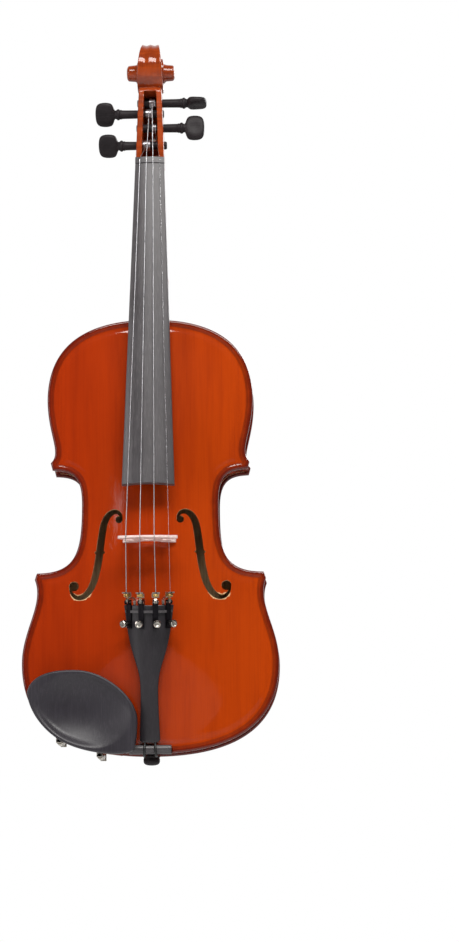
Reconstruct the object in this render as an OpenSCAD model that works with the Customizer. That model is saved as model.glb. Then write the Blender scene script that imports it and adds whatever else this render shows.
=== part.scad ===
// Full-size violin, hanging upright by its scroll. +Z runs up to the scroll, the belly faces -Y
// and the bass side is at -X. The origin is where a wall hanger's yoke meets the scroll.
//
// The pieces are drawn lying on their back and stood up by stand():
// x runs across, y runs along the body from its lower edge, z rises out of the belly,
// and z = 0 is the joint between the ribs and the belly.

/* [Body] */
// Length of the body, without the button
body_l = 356; // [350:1:360]
// Width of the lower bout
lower_bout = 208; // [204:1:212]
// Width at the narrowest part of the waist
waist = 111.2; // [108:0.2:114]
// Width of the upper bout
upper_bout = 168; // [165:1:171]
// Height of the ribs
rib_h = 31; // [29:0.5:32]
// Thickness of a rib
rib_t = 1.2; // [1:0.1:1.5]
// Overhang of the plates past the ribs
overhang = 3; // [2.5:0.1:3.5]
// Thickness of a plate at its edge
edge_t = 3.8; // [3.5:0.1:4.5]
// Height of the belly's arch above the ribs
belly_arch = 15.5; // [14:0.5:17]
// Height of the back's arch below the ribs
back_arch = 14.5; // [13:0.5:16]
// Thickness of the plates under the arch
plate_t = 3; // [2.6:0.1:3.4]

/* [Neck] */
// Length of the neck from the body's edge to the nut
neck_l = 132.5; // [130:0.5:134]
// Backward tilt of the neck in degrees
neck_tilt = 6.1; // [5.5:0.1:6.5]
// Height of the neck's gluing face over the belly's joint, at the body's edge
neck_rise = 10; // [9.5:0.1:11]
// Width of the neck at the nut
nut_w = 24; // [23:0.5:25]
// Length of the fingerboard
board_l = 275; // [268:1:278]
// Width of the fingerboard at its low end
board_w = 42.5; // [42:0.5:44]
// Radius of the fingerboard's playing surface
board_r = 42; // [40:1:44]
// Thickness of the fingerboard at its sides
board_t = 5.5; // [5:0.5:6]
// Diameter of a tuning peg's shank
peg_d = 7; // [6.6:0.1:7.4]

/* [Strings] */
// Distance of the bridge from the body's lower edge
bridge_y = 170; // [168:1:172]
// Height of the bridge over the belly's joint, at its middle
bridge_top = 46.5; // [45:0.5:48]
// Distance between the outer strings at the bridge
bridge_spread = 34.5; // [33:0.5:35]
// Distance between the outer strings at the nut
nut_spread = 16.5; // [16:0.5:17.5]

/* [Fittings] */
// Length of the tailpiece
tail_l = 110; // [108:1:111]
// Width of the tailpiece at the strings
tail_w = 40; // [38:0.5:41]
// Radius of the end button's head
button_r = 6.7; // [6:0.1:7.5]
// Travel of a fine tuner's screw
tuner_travel = 2.5; // [1.5:0.5:2.5]
// Travel of the chinrest's lower bracket
clamp_travel = 3; // [2:0.5:4]

/* [Hidden] */

varnish = [0.66, 0.20, 0.04];
maple = [0.62, 0.24, 0.07];
spruce = [0.85, 0.70, 0.48];
willow = [0.80, 0.66, 0.46];
ebony = [0.07, 0.065, 0.07];
bridge_maple = [0.86, 0.72, 0.60];
nickel = [0.78, 0.76, 0.72];
black_steel = [0.09, 0.09, 0.1];
wound_steel = [0.62, 0.62, 0.64];
cork = [0.62, 0.45, 0.28];

$fn = 48;
eps = 0.01;
// Gap that keeps two curved faces on different bodies apart
clear = 0.3;
// Radial clearance of a running fit
running = 0.05;

// The hanger's place: under the scroll's eyes, at the middle of the throat
hanger_y = 563;
hanger_z = -19;

module stand() {
    translate([0, hanger_z, -hanger_y]) rotate([90, 0, 0]) children();
}

module mirrored_pair() {
    children();
    mirror([1, 0, 0]) children();
}

// ---- Outline ----------------------------------------------------------------------------

function bezier(p, n) = [
    for (i = [0 : n])
        let (t = i / n, s = 1 - t)
        s * s * s * p[0] + 3 * s * s * t * p[1] + 3 * s * t * t * p[2] + t * t * t * p[3]
];

function reversed(list) = [for (i = [len(list) - 1 : -1 : 0]) list[i]];
function mirrored(points) = [for (p = points) [-p[0], p[1]]];
function drop_first(list) = [for (i = [1 : len(list) - 1]) list[i]];

lower_x = lower_bout / 2;
upper_x = upper_bout / 2;
waist_x = waist / 2;
lower_y = 74;
waist_y = 203;
upper_y = 289;
// Corner tips, each a short cut edge between the bout's curve and the waist's curve
lower_tip = [[lower_x - 10.2, 141.5], [lower_x - 12, 147]];
upper_tip = [[upper_x - 4.5, 231.2], [upper_x - 2.8, 237.5]];

lower_end = bezier([[0, 0], [lower_x - 32, 0], [lower_x, lower_y - 48], [lower_x, lower_y]], 16);
lower_flank = bezier([[lower_x, lower_y], [lower_x, lower_y + 27],
                      [lower_x - 18, lower_y + 48], lower_tip[0]], 9);
waist_low = bezier([lower_tip[1], [waist_x + 4.5, 147.2], [waist_x, 163], [waist_x, waist_y]], 10);
waist_high = bezier([[waist_x, waist_y], [waist_x, 225], [waist_x + 6, 230.8], upper_tip[0]], 10);
upper_flank = bezier([upper_tip[1], [upper_x - 12, upper_tip[1][1] + 8.5],
                      [upper_x - 0.5, upper_y - 29], [upper_x, upper_y]], 8);
upper_end = bezier([[upper_x, upper_y], [upper_x, upper_y + 38],
                    [upper_x - 21, body_l], [0, body_l]], 16);

lower_curve = concat(lower_end, drop_first(lower_flank));
waist_curve = concat(waist_low, drop_first(waist_high));
upper_curve = concat(upper_flank, drop_first(upper_end));
half_outline = concat(lower_curve, waist_curve, upper_curve);

// Points of a curve moved inwards by d, along the normal at each one
function inset(points, d) = [
    for (i = [0 : len(points) - 1])
        let (a = points[max(i - 1, 0)], b = points[min(i + 1, len(points) - 1)],
             along = (b - a) / norm(b - a))
        points[i] + d * [-along[1], along[0]]
];

// Points of a curve at least r away from both corner tips
function away_from_tips(points, r) = [
    for (p = points)
        if (norm(p - lower_tip[0]) > r && norm(p - lower_tip[1]) > r
            && norm(p - upper_tip[0]) > r && norm(p - upper_tip[1]) > r) p
];

function strip(points, d1, d2) = concat(inset(points, d1), reversed(inset(points, d2)));

// ---- Plates -----------------------------------------------------------------------------

arch_margin = 7;
lower_arch_x = lower_x - 9;
waist_arch_x = waist_x - 6;
upper_arch_x = upper_x - 8;

function ease(t) = (1 - cos(180 * t)) / 2;
function end_round(t) = sqrt(max(0, 1 - t * t));

// Half width of the arched area at height y along the body
function arch_x(y) =
    y < lower_y ? lower_arch_x * end_round((lower_y - y) / (lower_y - arch_margin)) :
    y < waist_y ? lower_arch_x + (waist_arch_x - lower_arch_x)
        * ease((y - lower_y) / (waist_y - lower_y)) :
    y < upper_y ? waist_arch_x + (upper_arch_x - waist_arch_x)
        * ease((y - waist_y) / (upper_y - waist_y)) :
    upper_arch_x * end_round((y - upper_y) / (body_l - arch_margin - upper_y));

function long_arch(y) =
    let (t = abs(2 * (y - arch_margin) / (body_l - 2 * arch_margin) - 1))
    t >= 1 ? 0 : pow(1 - pow(t, 2.4), 1.2);

function cross_arch(x, y) =
    let (a = arch_x(y), t = a > 1 ? min(1, abs(x) / a) : 1)
    (1 + cos(180 * t)) / 2;

// Height of a plate's outer face over the ribs, for an arch of the given height
function outer_z(x, y, arch) = edge_t + (arch - edge_t) * long_arch(y) * cross_arch(x, y);

// Height of its inner face
function inner_z(x, y, arch) = (outer_z(x, y, arch) - edge_t) * (arch - plate_t) / (arch - edge_t);

columns = [-1, -0.97, -0.9, -0.8, -0.68, -0.54, -0.38, -0.2, 0, 0.2, 0.38, 0.54, 0.68, 0.8,
           0.9, 0.97, 1];
// The rows of the plate's grid, from just inside one end to just inside the other
end_trim = 0.07;
plate_rows = concat([[lower_end[1][0] / 2, end_trim]], drop_first(half_outline));
rows = [for (p = plate_rows) if (p[0] > 1) p];

// One arched plate: a grid of points on both faces, joined at the edge
module arched_plate(arch) {
    n = len(columns);
    m = len(rows);
    outer = [for (r = rows) for (c = columns) [c * r[0], r[1], outer_z(c * r[0], r[1], arch)]];
    inner = [for (r = rows) for (c = columns) [c * r[0], r[1], inner_z(c * r[0], r[1], arch)]];
    k = n * m;
    face_quads = [for (j = [0 : m - 2]) for (i = [0 : n - 2]) [j * n + i, i + 1 + j * n,
                                                              (j + 1) * n + i + 1, (j + 1) * n + i]];
    rim = concat([for (i = [0 : n - 1]) i], [for (j = [1 : m - 1]) j * n + n - 1],
                 [for (i = [n - 2 : -1 : 0]) (m - 1) * n + i], [for (j = [m - 2 : -1 : 1]) j * n]);
    q = len(rim);
    polyhedron(
        points = concat(outer, inner),
        faces = concat(
            [for (f = face_quads) [f[0], f[2], f[1]]],
            [for (f = face_quads) [f[0], f[3], f[2]]],
            [for (f = face_quads) [k + f[0], k + f[1], k + f[2]]],
            [for (f = face_quads) [k + f[0], k + f[2], k + f[3]]],
            [for (i = [0 : q - 1]) [rim[i], rim[(i + 1) % q], k + rim[i]]],
            [for (i = [0 : q - 1]) [rim[(i + 1) % q], k + rim[(i + 1) % q], k + rim[i]]]
        )
    );
}

// Sound hole: a stem with two hooks, each ending in a round eye
f_upper_eye = [24.8, 189.4];
f_lower_eye = [61.8, 135.8];
f_upper_r = 3;
f_lower_r = 4;
f_path = concat(
    bezier([[22.6, 190.6], [24, 198.2], [35, 199.5], [38, 183]], 9),
    drop_first(bezier([[38, 183], [40.6, 168], [40.8, 157], [43.6, 146]], 6)),
    drop_first(bezier([[43.6, 146], [48, 123.5], [62, 121.5], [65, 134]], 9))
);
f_stem_w = 6.2;
f_hook_w = 1.4;
function f_width(t) = f_hook_w + (f_stem_w - f_hook_w) * pow(sin(180 * t), 0.8);
f_notch_y = 163;
f_notch = 1.6;

module f_hole_2d() {
    n = len(f_path) - 1;
    left = [for (i = [0 : n]) inset(f_path, f_width(i / n) / 2)[i]];
    right = [for (i = [0 : n]) inset(f_path, -f_width(i / n) / 2)[i]];
    polygon(concat(left, reversed(right)));
    translate(f_upper_eye) circle(f_upper_r, $fn = 24);
    translate(f_lower_eye) circle(f_lower_r, $fn = 28);
    for (side = [-1, 1])
        translate([40.7 + side * (f_stem_w / 2 + f_notch / 4), f_notch_y])
            rotate(45) square(f_notch, center = true);
}

saddle_w = 34;
saddle_d = 7;
root_depth = 9;
root_w = 32;
button_tab_r = 10.5;
button_tab_l = 11;

module top_plate() {
    color(varnish) stand() resize([0, 0, 0]) difference() {
        arched_plate(belly_arch);
        mirrored_pair() translate([0, 0, -1]) linear_extrude(belly_arch + 2) f_hole_2d();
        translate([-saddle_w / 2, -1, -1]) cube([saddle_w, saddle_d + 1, edge_t + 2]);
        translate([-root_w / 2 - eps, body_l - root_depth, -1])
            cube([root_w + 2 * eps, root_depth + 1, edge_t + 2]);
    }
}

module back_plate() {
    color(maple) stand() resize([0, 0, 0]) translate([0, 0, -rib_h]) mirror([0, 0, 1]) union() {
        arched_plate(back_arch);
        translate([0, body_l - 3, 0]) linear_extrude(edge_t) {
            translate([0, button_tab_l - button_tab_r + 3]) circle(button_tab_r, $fn = 40);
            translate([-button_tab_r, 0])
                square([2 * button_tab_r, button_tab_l - button_tab_r + 3]);
        }
    }
}

// ---- Ribs, blocks and linings -----------------------------------------------------------

button_z = -rib_h / 2;
button_bore_r = 3.9;
rib_cut = 6;
button_bore_y = 14;

module rib_strip(points) {
    translate([0, 0, -rib_h]) linear_extrude(rib_h)
        polygon(strip(points, overhang, overhang + rib_t));
}

// The upper ribs stop at the neck's root, the others meet on the centre line or at a corner
module upper_rib() {
    rib_strip([for (p = away_from_tips(upper_curve, rib_cut)) if (p[0] > root_w / 2 + 2) p]);
}

module middle_rib() {
    rib_strip(away_from_tips(waist_curve, rib_cut));
}

module lower_rib() {
    difference() {
        rib_strip(away_from_tips(lower_curve, rib_cut));
        translate([0, -1, button_z]) rotate([-90, 0, 0]) cylinder(r = button_bore_r, h = 8);
    }
}

module on_bass_side() {
    mirror([1, 0, 0]) children();
}

module upper_rib_treble() {
    color(maple) stand() upper_rib();
}

module upper_rib_bass() {
    color(maple) stand() on_bass_side() upper_rib();
}

module middle_rib_treble() {
    color(maple) stand() middle_rib();
}

module middle_rib_bass() {
    color(maple) stand() on_bass_side() middle_rib();
}

module lower_rib_treble() {
    color(maple) stand() lower_rib();
}

module lower_rib_bass() {
    color(maple) stand() on_bass_side() lower_rib();
}

block_w = 52;
block_d = 17;
lining_t = 2;
lining_h = 7;
inside = overhang + rib_t;

// Edge of a block that follows the inside of the ribs near the centre line
function block_edge(curve) = [
    for (p = inset(curve, inside)) if (p[0] <= block_w / 2 && p[0] >= 0) p
];

module upper_block() {
    edge = block_edge(upper_end);
    color(spruce) stand() translate([0, 0, -rib_h]) difference() {
        linear_extrude(rib_h) polygon(concat(
            [[-block_w / 2, body_l - inside - block_d], [block_w / 2, body_l - inside - block_d]],
            edge, reversed(mirrored(edge))));
        translate([-root_w / 2, body_l - root_depth, -1]) cube([root_w, root_depth, rib_h + 2]);
    }
}

module lower_block() {
    edge = block_edge(lower_end);
    color(spruce) stand() difference() {
        translate([0, 0, -rib_h]) linear_extrude(rib_h) polygon(concat(
            [[block_w / 2, inside + block_d], [-block_w / 2, inside + block_d]],
            reversed(mirrored(edge)), edge));
        translate([0, -1, button_z]) rotate([-90, 0, 0])
            cylinder(r = button_bore_r, h = button_bore_y + 1);
    }
}

corner_r = 27;
corner_tip_r = 9;

// Points of a curve between two distances from a corner tip
function near(points, tip, r1, r2) = [
    for (p = points) if (norm(p - tip) > r1 && norm(p - tip) < r2) p
];

// A block behind the corner where the first curve ends and the second starts
module corner_block(first, second, tip) {
    translate([0, 0, -rib_h]) linear_extrude(rib_h) polygon(concat(
        near(inset(first, inside), tip, corner_tip_r, corner_r),
        near(inset(second, inside), tip, corner_tip_r, corner_r)));
}

module corner_blocks() {
    color(willow) stand() mirrored_pair() {
        corner_block(lower_curve, waist_curve, lower_tip[1]);
        corner_block(waist_curve, upper_curve, upper_tip[0]);
    }
}

lining_gap = corner_r + 2;

module lining_set(z) {
    lower = [for (p = away_from_tips(lower_curve, lining_gap)) if (p[0] > block_w / 2 + 3) p];
    upper = [for (p = away_from_tips(upper_curve, lining_gap)) if (p[0] > block_w / 2 + 3) p];
    for (curve = [lower, away_from_tips(waist_curve, lining_gap), upper])
        translate([0, 0, z]) linear_extrude(lining_h) polygon(strip(curve, inside, inside + lining_t));
}

module top_linings() {
    color(willow) stand() mirrored_pair() lining_set(-lining_h);
}

module back_linings() {
    color(willow) stand() mirrored_pair() lining_set(-rib_h);
}

bar_x = -17;
bar_w = 5.5;
bar_start = 45;
bar_l = 266;
bar_h = 11;

// The bar follows the belly's inner face and is tallest under the bridge
module bass_bar() {
    n = 24;
    ys = [for (i = [0 : n]) bar_start + bar_l * i / n];
    depth = [for (i = [0 : n]) 2 + (bar_h - 2) * pow(sin(180 * i / n), 1.2)];
    section = [for (i = [0 : n])
        let (low = min(inner_z(bar_x - bar_w / 2, ys[i], belly_arch),
                       inner_z(bar_x + bar_w / 2, ys[i], belly_arch)))
        [[bar_x - bar_w / 2, ys[i], low], [bar_x + bar_w / 2, ys[i], low],
         [bar_x + bar_w / 2, ys[i], low - depth[i]], [bar_x - bar_w / 2, ys[i], low - depth[i]]]
    ];
    color(spruce) stand() loft(section);
}

// A closed solid through equal rings of points
module loft(rings) {
    n = len(rings[0]);
    m = len(rings);
    polyhedron(
        points = [for (ring = rings) for (p = ring) p],
        faces = concat(
            [for (i = [1 : n - 2]) [0, i + 1, i]],
            [for (i = [1 : n - 2]) [(m - 1) * n, (m - 1) * n + i, (m - 1) * n + i + 1]],
            [for (j = [0 : m - 2]) for (i = [0 : n - 1])
                [j * n + i, j * n + (i + 1) % n, (j + 1) * n + i]],
            [for (j = [0 : m - 2]) for (i = [0 : n - 1])
                [j * n + (i + 1) % n, (j + 1) * n + (i + 1) % n, (j + 1) * n + i]]
        )
    );
}

post_r = 3.1;
post_x = 19;
post_y = 161;

module sound_post() {
    top = inner_z(post_x + post_r, post_y - post_r, belly_arch);
    bottom = -rib_h - inner_z(post_x + post_r, post_y - post_r, back_arch);
    color(spruce) stand() translate([post_x, post_y, bottom]) cylinder(r = post_r, h = top - bottom);
}

// ---- Neck, pegbox and scroll ------------------------------------------------------------

// In the neck's own frame y runs along its gluing face from the body's edge and z is square to it
module neck_frame() {
    translate([0, body_l, neck_rise]) rotate([-neck_tilt, 0, 0]) children();
}

// Extrudes a side view, drawn as (along, up), across the width w
module side_view(w) {
    rotate([90, 0, 90]) translate([0, 0, -w / 2]) linear_extrude(w) children();
}

nut_l = 5;
nut_y = neck_l + nut_l;
neck_depth_nut = 12;
eye = [216.5, -5];
scroll_r = 29.5;
eye_r = 6.5;
// The spiral shrinks from scroll_r to eye_r + 1 over two turns
spiral_turns = 2;
function spiral_r(a) = scroll_r * pow((eye_r + 1) / scroll_r, a / (360 * spiral_turns));
function spiral(a) = eye + spiral_r(a) * [sin(a), -cos(a)];
function spiral_arc(a1, a2, n) = [for (i = [0 : n]) spiral(a1 + (a2 - a1) * i / n)];

// Back of the pegbox, from the nut's heel to the scroll
pegbox_back = concat(
    bezier([[nut_y + 1, -neck_depth_nut], [nut_y + 5, -19], [nut_y + 12, -21], [nut_y + 26, -21]], 6),
    drop_first(bezier([[nut_y + 26, -21], [eye[0] - 32, -21], [eye[0] - 22, eye[1] - scroll_r],
                       [eye[0], eye[1] - scroll_r]], 8))
);
pegbox_front = [[nut_y, 2.5], [nut_y + 10, 4], [196, 6]];

pegbox_profile = concat(pegbox_front, spiral_arc(225, 0, 24), reversed(pegbox_back));
pegbox_half = [[nut_y - 1, 11.9], [165, 10.9], [196, 9.6], [207, 8.6], [225, 7], [246, 6.2]];
turn_half_w = [11.5, 16];
eye_half_w = 20.3;

cavity_end = 196.3;
cavity_floor = -15.5;
wall = 5;

// Place of each peg along the neck, and its height in the pegbox
peg_s = [153.1, 181.1, 190.6, 168.4];
peg_h = -8;
bore_r = peg_d / 2 + running;

module pegbox_and_scroll() {
    intersection() {
        side_view(30) polygon(pegbox_profile);
        translate([0, 0, -40]) linear_extrude(80)
            polygon(concat([for (p = pegbox_half) [p[1], p[0]]],
                           [for (p = reversed(pegbox_half)) [-p[1], p[0]]]));
    }
    for (turn = [0, 1])
        side_view(2 * turn_half_w[turn])
            polygon(spiral_arc(270 + 300 * turn, 270 + 300 * turn + 360, 30));
    translate([-eye_half_w, eye[0], eye[1]]) rotate([0, 90, 0])
        cylinder(r = eye_r, h = 2 * eye_half_w);
}

module pegbox_cavity() {
    translate([0, 0, cavity_floor]) linear_extrude(40) polygon([
        [-pegbox_half[0][1] + wall, nut_y + 2], [pegbox_half[0][1] - wall, nut_y + 2],
        [pegbox_half[2][1] - wall, cavity_end], [-pegbox_half[2][1] + wall, cavity_end]]);
}

module peg_bores() {
    for (s = peg_s)
        translate([-20, s, peg_h]) rotate([0, 90, 0]) cylinder(r = bore_r, h = 40);
}

heel_w = 21;
heel_top_w = 31.6;
heel_curve = 26;

// The handle is a tilted cone under the gluing face
handle_drop = 2.6;
module handle() {
    cone_tilt = atan(handle_drop / neck_l);
    intersection() {
        translate([0, nut_y + 1.5, 0]) rotate([90, 0, 0]) rotate([-cone_tilt, 0, 0])
            cylinder(r1 = nut_w / 2, r2 = nut_w / 2 + handle_drop + 2.2, h = nut_y + 3);
        translate([-25, -2, -40]) cube([50, nut_y + 3.5, 40]);
    }
}

// The heel, in the body's frame, runs down to the back's button
module heel() {
    heel_back = -rib_h;
    foot_y = body_l + button_tab_l - 1.5;
    profile = concat(
        [[body_l - root_depth, heel_back], [foot_y, heel_back]],
        bezier([[foot_y, heel_back], [foot_y + 3, heel_back + 14],
                [body_l + 15, -9], [body_l + heel_curve + 8, -7.5]], 10),
        [[body_l + heel_curve + 8, 4], [body_l, neck_rise],
         [body_l - root_depth, neck_rise + root_depth * sin(neck_tilt)]]);
    intersection() {
        side_view(40) polygon(profile);
        translate([0, body_l + 60, 0]) rotate([90, 0, 0]) linear_extrude(90) polygon([
            [-heel_w / 2, heel_back], [heel_w / 2, heel_back], [13, -12], [heel_top_w / 2, -2],
            [heel_top_w / 2, 12], [-heel_top_w / 2, 12], [-heel_top_w / 2, -2], [-13, -12]]);
    }
}

module neck() {
    color(maple) stand() difference() {
        union() {
            neck_frame() pegbox_and_scroll();
            neck_frame() handle();
            heel();
        }
        neck_frame() pegbox_cavity();
        neck_frame() peg_bores();
        neck_frame() translate([-30, -20, 0]) cube([60, nut_y + 20, 30]);
    }
}

board_end = neck_l - board_l;
function sagitta(w) = board_r - sqrt(board_r * board_r - w * w / 4);
crown_nut = board_t + sagitta(nut_w);
crown_end = board_t + sagitta(board_w);
crown_tilt = atan((crown_end - crown_nut) / board_l);
function board_crown(s) = crown_nut + (neck_l - s) * tan(crown_tilt);

// A long round bar whose top line is the fingerboard's crown, raised by lift
module crown_bar(lift) {
    translate([0, nut_y + 10, board_crown(nut_y + 10) - board_r]) rotate([90, 0, 0])
        rotate([-crown_tilt, 0, 0]) cylinder(r = board_r + lift, h = board_l + 40, $fn = 120);
}

board_hollow_r = 34;

module fingerboard() {
    color(ebony) stand() neck_frame() difference() {
        intersection() {
            crown_bar(0);
            linear_extrude(20) polygon([[-nut_w / 2, neck_l], [nut_w / 2, neck_l],
                                        [board_w / 2, board_end], [-board_w / 2, board_end]]);
        }
        translate([0, -12, -board_hollow_r + 5]) rotate([90, 0, 0])
            cylinder(r = board_hollow_r, h = board_l, $fn = 90);
    }
}

string_rise_nut = 0.6;

// The strings lie in grooves that are cut a little wider than they are
module nut() {
    color(ebony) stand() difference() {
        neck_frame() intersection() {
            crown_bar(string_rise_nut + 0.3);
            translate([-nut_w / 2, neck_l, 0]) cube([nut_w, nut_l, 15]);
        }
        for (i = [0 : 3]) {
            string_line(i, groove_r(i), nut_end(i), bridge_end(i));
            string_line(i, groove_r(i), peg_end(i), nut_end(i));
        }
    }
}

saddle_top = 8.6;
saddle_round = 4.6;
saddle_axis = [saddle_d / 2, saddle_top - saddle_round];

module saddle() {
    color(ebony) stand() translate([-saddle_w / 2, 0, 0]) intersection() {
        cube([saddle_w, saddle_d, saddle_top]);
        union() {
            cube([saddle_w, saddle_d, saddle_axis[1]]);
            translate([0, saddle_axis[0], saddle_axis[1]]) rotate([0, 90, 0])
                cylinder(r = saddle_round, h = saddle_w);
        }
    }
}

// ---- Bridge -----------------------------------------------------------------------------

bridge_foot_w = 43;
bridge_t = 4.4;
bridge_edge_t = 1.5;
bridge_foot = outer_z(bridge_foot_w / 2 - 6, bridge_y, belly_arch);
bridge_arc_r = 41.5;
// The crown's arc falls further on the treble side than on the bass side
bridge_bias = 0.6;

function bridge_z(x) = bridge_top - bridge_arc_r + sqrt(bridge_arc_r * bridge_arc_r - x * x)
    - bridge_bias * x / bridge_spread;

crown_half = 23.2;
foot_z = bridge_foot;
bridge_crown = [for (x = [crown_half : -crown_half / 8 : -crown_half - eps]) [x, bridge_z(x)]];

// The soles follow the belly, which falls this much at most under their outer ends
sole_drop = 2;
bridge_sole = [for (x = [bridge_foot_w / 2 : -2.5 : 9]) [x, outer_z(x, bridge_y, belly_arch) + 0.02]];

module bridge_profile() {
    difference() {
        polygon(concat(
            bridge_crown,
            [[-crown_half - 1, bridge_z(crown_half) - 5], [-18.5, bridge_z(crown_half) - 9],
             [-19.5, foot_z + 12], [-16.5, foot_z + 8.5], [-16.5, foot_z + 5],
             [-bridge_foot_w / 2, foot_z + 2.5]],
            mirrored(bridge_sole), [[-9, foot_z + 3.5], [-5.5, foot_z + 8],
             [5.5, foot_z + 8], [9, foot_z + 3.5]], reversed(bridge_sole),
            [[bridge_foot_w / 2, foot_z + 2.5], [16.5, foot_z + 5], [16.5, foot_z + 8.5],
             [19.5, foot_z + 12], [18.5, bridge_z(crown_half) - 9],
             [crown_half + 1, bridge_z(crown_half) - 5]]));
        translate([0, foot_z + 18.5]) circle(3.1);
        translate([0, foot_z + 14.5]) square([2.2, 7], center = true);
        for (side = [-1, 1]) {
            translate([side * 13.5, foot_z + 15.5]) circle(2.7);
            translate([side * 17.6, foot_z + 16.2]) circle(2.2);
        }
    }
}

// The side facing the tailpiece is upright, the other side tapers to the crown
module bridge() {
    high = bridge_top - foot_z + sole_drop + 1;
    color(bridge_maple) stand() difference() {
        intersection() {
            translate([0, bridge_y + bridge_t, 0]) rotate([90, 0, 0])
                linear_extrude(bridge_t) bridge_profile();
            translate([0, bridge_y, foot_z - sole_drop]) side_view(60)
                polygon([[0, 0], [bridge_t, 0], [bridge_t, sole_drop + 3],
                         [bridge_edge_t, high], [0, high]]);
        }
        for (i = [0 : 3]) string_line(i, string_r[i] + 0.02, nut_end(i), bridge_end(i));
        for (i = [0 : 3]) string_line(i, string_r[i] + 0.02, bridge_end(i), hook_end(i));
    }
}

// ---- Strings ----------------------------------------------------------------------------

// In the order G, D, A, E
string_r = [0.4, 0.38, 0.34, 0.15];
string_t = [-0.5, -1 / 6, 1 / 6, 0.5];

function neck_to_body(x, s, h) = [
    x,
    body_l + s * cos(neck_tilt) + h * sin(neck_tilt),
    neck_rise - s * sin(neck_tilt) + h * cos(neck_tilt)
];

function nut_h(x) = board_crown(nut_y) - board_r + sqrt(board_r * board_r - x * x) + string_rise_nut;
function nut_end(i) = let (x = nut_spread * string_t[i]) neck_to_body(x, nut_y - 1.6, nut_h(x));
function bridge_end(i) = let (x = bridge_spread * string_t[i]) [x, bridge_y + 0.7, bridge_z(x)];

// Windings sit where each string leaves the middle of the pegbox
winding_x = [-3.2, -1.4, 1.2, 3.2];
winding_r = [4.7, 4.6, 4.5, 4.1];
function peg_end(i) = neck_to_body(winding_x[i], peg_s[i] - 1.5,
                                   peg_h + winding_r[i] + clear + string_r[i] + 0.1);

// The straight end of each string stops just clear of the ball that its tuner holds
function hook_end(i) = let (ball = ball_centre(i), along = bridge_end(i) - ball)
    ball + (ball_r + clear) * along / norm(along);

// A straight round bar between two points
module bar(a, b, r, fn = 16) {
    d = b - a;
    l = norm(d);
    translate(a) rotate([0, acos(d[2] / l), atan2(d[1], d[0])]) cylinder(r = r, h = l, $fn = fn);
}

module string_line(i, r, a, b) {
    bar(a - 3 * (b - a) / norm(b - a), b + 3 * (b - a) / norm(b - a), r);
}

ball_r = 1.5;
// Bends are covered by a sphere a little larger than the bar, so that no faces coincide
bend_factor = 1.08;
function groove_r(i) = bend_factor * string_r[i] + 0.03;

module string_piece(i) {
    color(wound_steel) stand() {
        r = string_r[i];
        bar(peg_end(i), nut_end(i), r);
        bar(nut_end(i), bridge_end(i), r);
        bar(bridge_end(i), hook_end(i), r);
        translate(nut_end(i)) sphere(r = bend_factor * r, $fn = 16);
        translate(bridge_end(i)) sphere(r = bend_factor * r, $fn = 16);
    }
}

module string_g() {
    string_piece(0);
}

module string_d() {
    string_piece(1);
}

module string_a() {
    string_piece(2);
}

module string_e() {
    string_piece(3);
}

// ---- Pegs -------------------------------------------------------------------------------

// In the order G, D, A, E: the side of the head, how far out it starts, and its turn at rest
peg_side = [-1, -1, 1, 1];
peg_head_x = [25.6, 28.6, 28.8, 27];
peg_turn = [50, 45, 92, 0];
peg_tip_x = [13.6, 11, 11.4, 12];
head_t = 8.5;
collar_r = 4.7;

module peg_place(i) {
    stand() neck_frame() translate([0, peg_s[i], peg_h]) rotate([peg_turn[i], 0, 0]) children();
}

// Shank along x with its collar, and a flattened head
module peg(i) {
    x0 = peg_head_x[i];
    color(ebony) peg_place(i) mirror([peg_side[i] < 0 ? 1 : 0, 0, 0]) {
        translate([-peg_tip_x[i], 0, 0]) rotate([0, 90, 0])
            cylinder(r = peg_d / 2, h = peg_tip_x[i] + x0 - 1);
        translate([x0 - 3.6, 0, 0]) rotate([0, 90, 0]) rotate_extrude()
            polygon([[0, 0], [3.8, 0], [4.2, 0.6], [3.8, 1.2], [collar_r, 1.8], [collar_r, 3],
                     [4.2, 3.8], [3.8, 6], [0, 6]]);
        hull() {
            for (side = [-1, 1]) {
                translate([x0 + 5.6, side * 5.4, 0]) sphere(r = head_t / 2, $fn = 24);
                translate([x0 + 11.4, side * 6.4, 0]) sphere(r = head_t / 2, $fn = 24);
            }
            translate([x0 + 2.6, 0, 0]) sphere(r = 3.4, $fn = 24);
            translate([x0 + 14, 0, 0]) sphere(r = 3.4, $fn = 24);
        }
    }
}

module peg_g() {
    peg(0);
}

module peg_d() {
    peg(1);
}

module peg_a() {
    peg(2);
}

module peg_e() {
    peg(3);
}

winding_turns = 4;

// The turns of string on the peg, as one ribbed sleeve
module winding(i) {
    r = string_r[i];
    core = peg_d / 2;
    color(wound_steel) peg_place(i) translate([winding_x[i] - winding_turns * r, 0, 0])
        rotate([0, 90, 0]) rotate_extrude() polygon(concat(
            [[core, 0]],
            [for (k = [0 : winding_turns * 6])
                [core + (winding_r[i] - core) * (0.7 + 0.3 * abs(sin(30 * k))), r * 2 * k / 6]],
            [[core, winding_turns * 2 * r]]));
}

module winding_g() {
    winding(0);
}

module winding_d() {
    winding(1);
}

module winding_a() {
    winding(2);
}

module winding_e() {
    winding(3);
}

// ---- Tailpiece, tailgut and end button --------------------------------------------------

tail_bottom = [8.6, 10.5];
tail_rise = 19.5;
tail_tilt = asin(tail_rise / tail_l);

// In the tailpiece's frame y runs up its middle line and z = 0 is its crown's line
module tail_frame() {
    translate([0, tail_bottom[0], tail_bottom[1]]) rotate([tail_tilt, 0, 0]) children();
}

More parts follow.
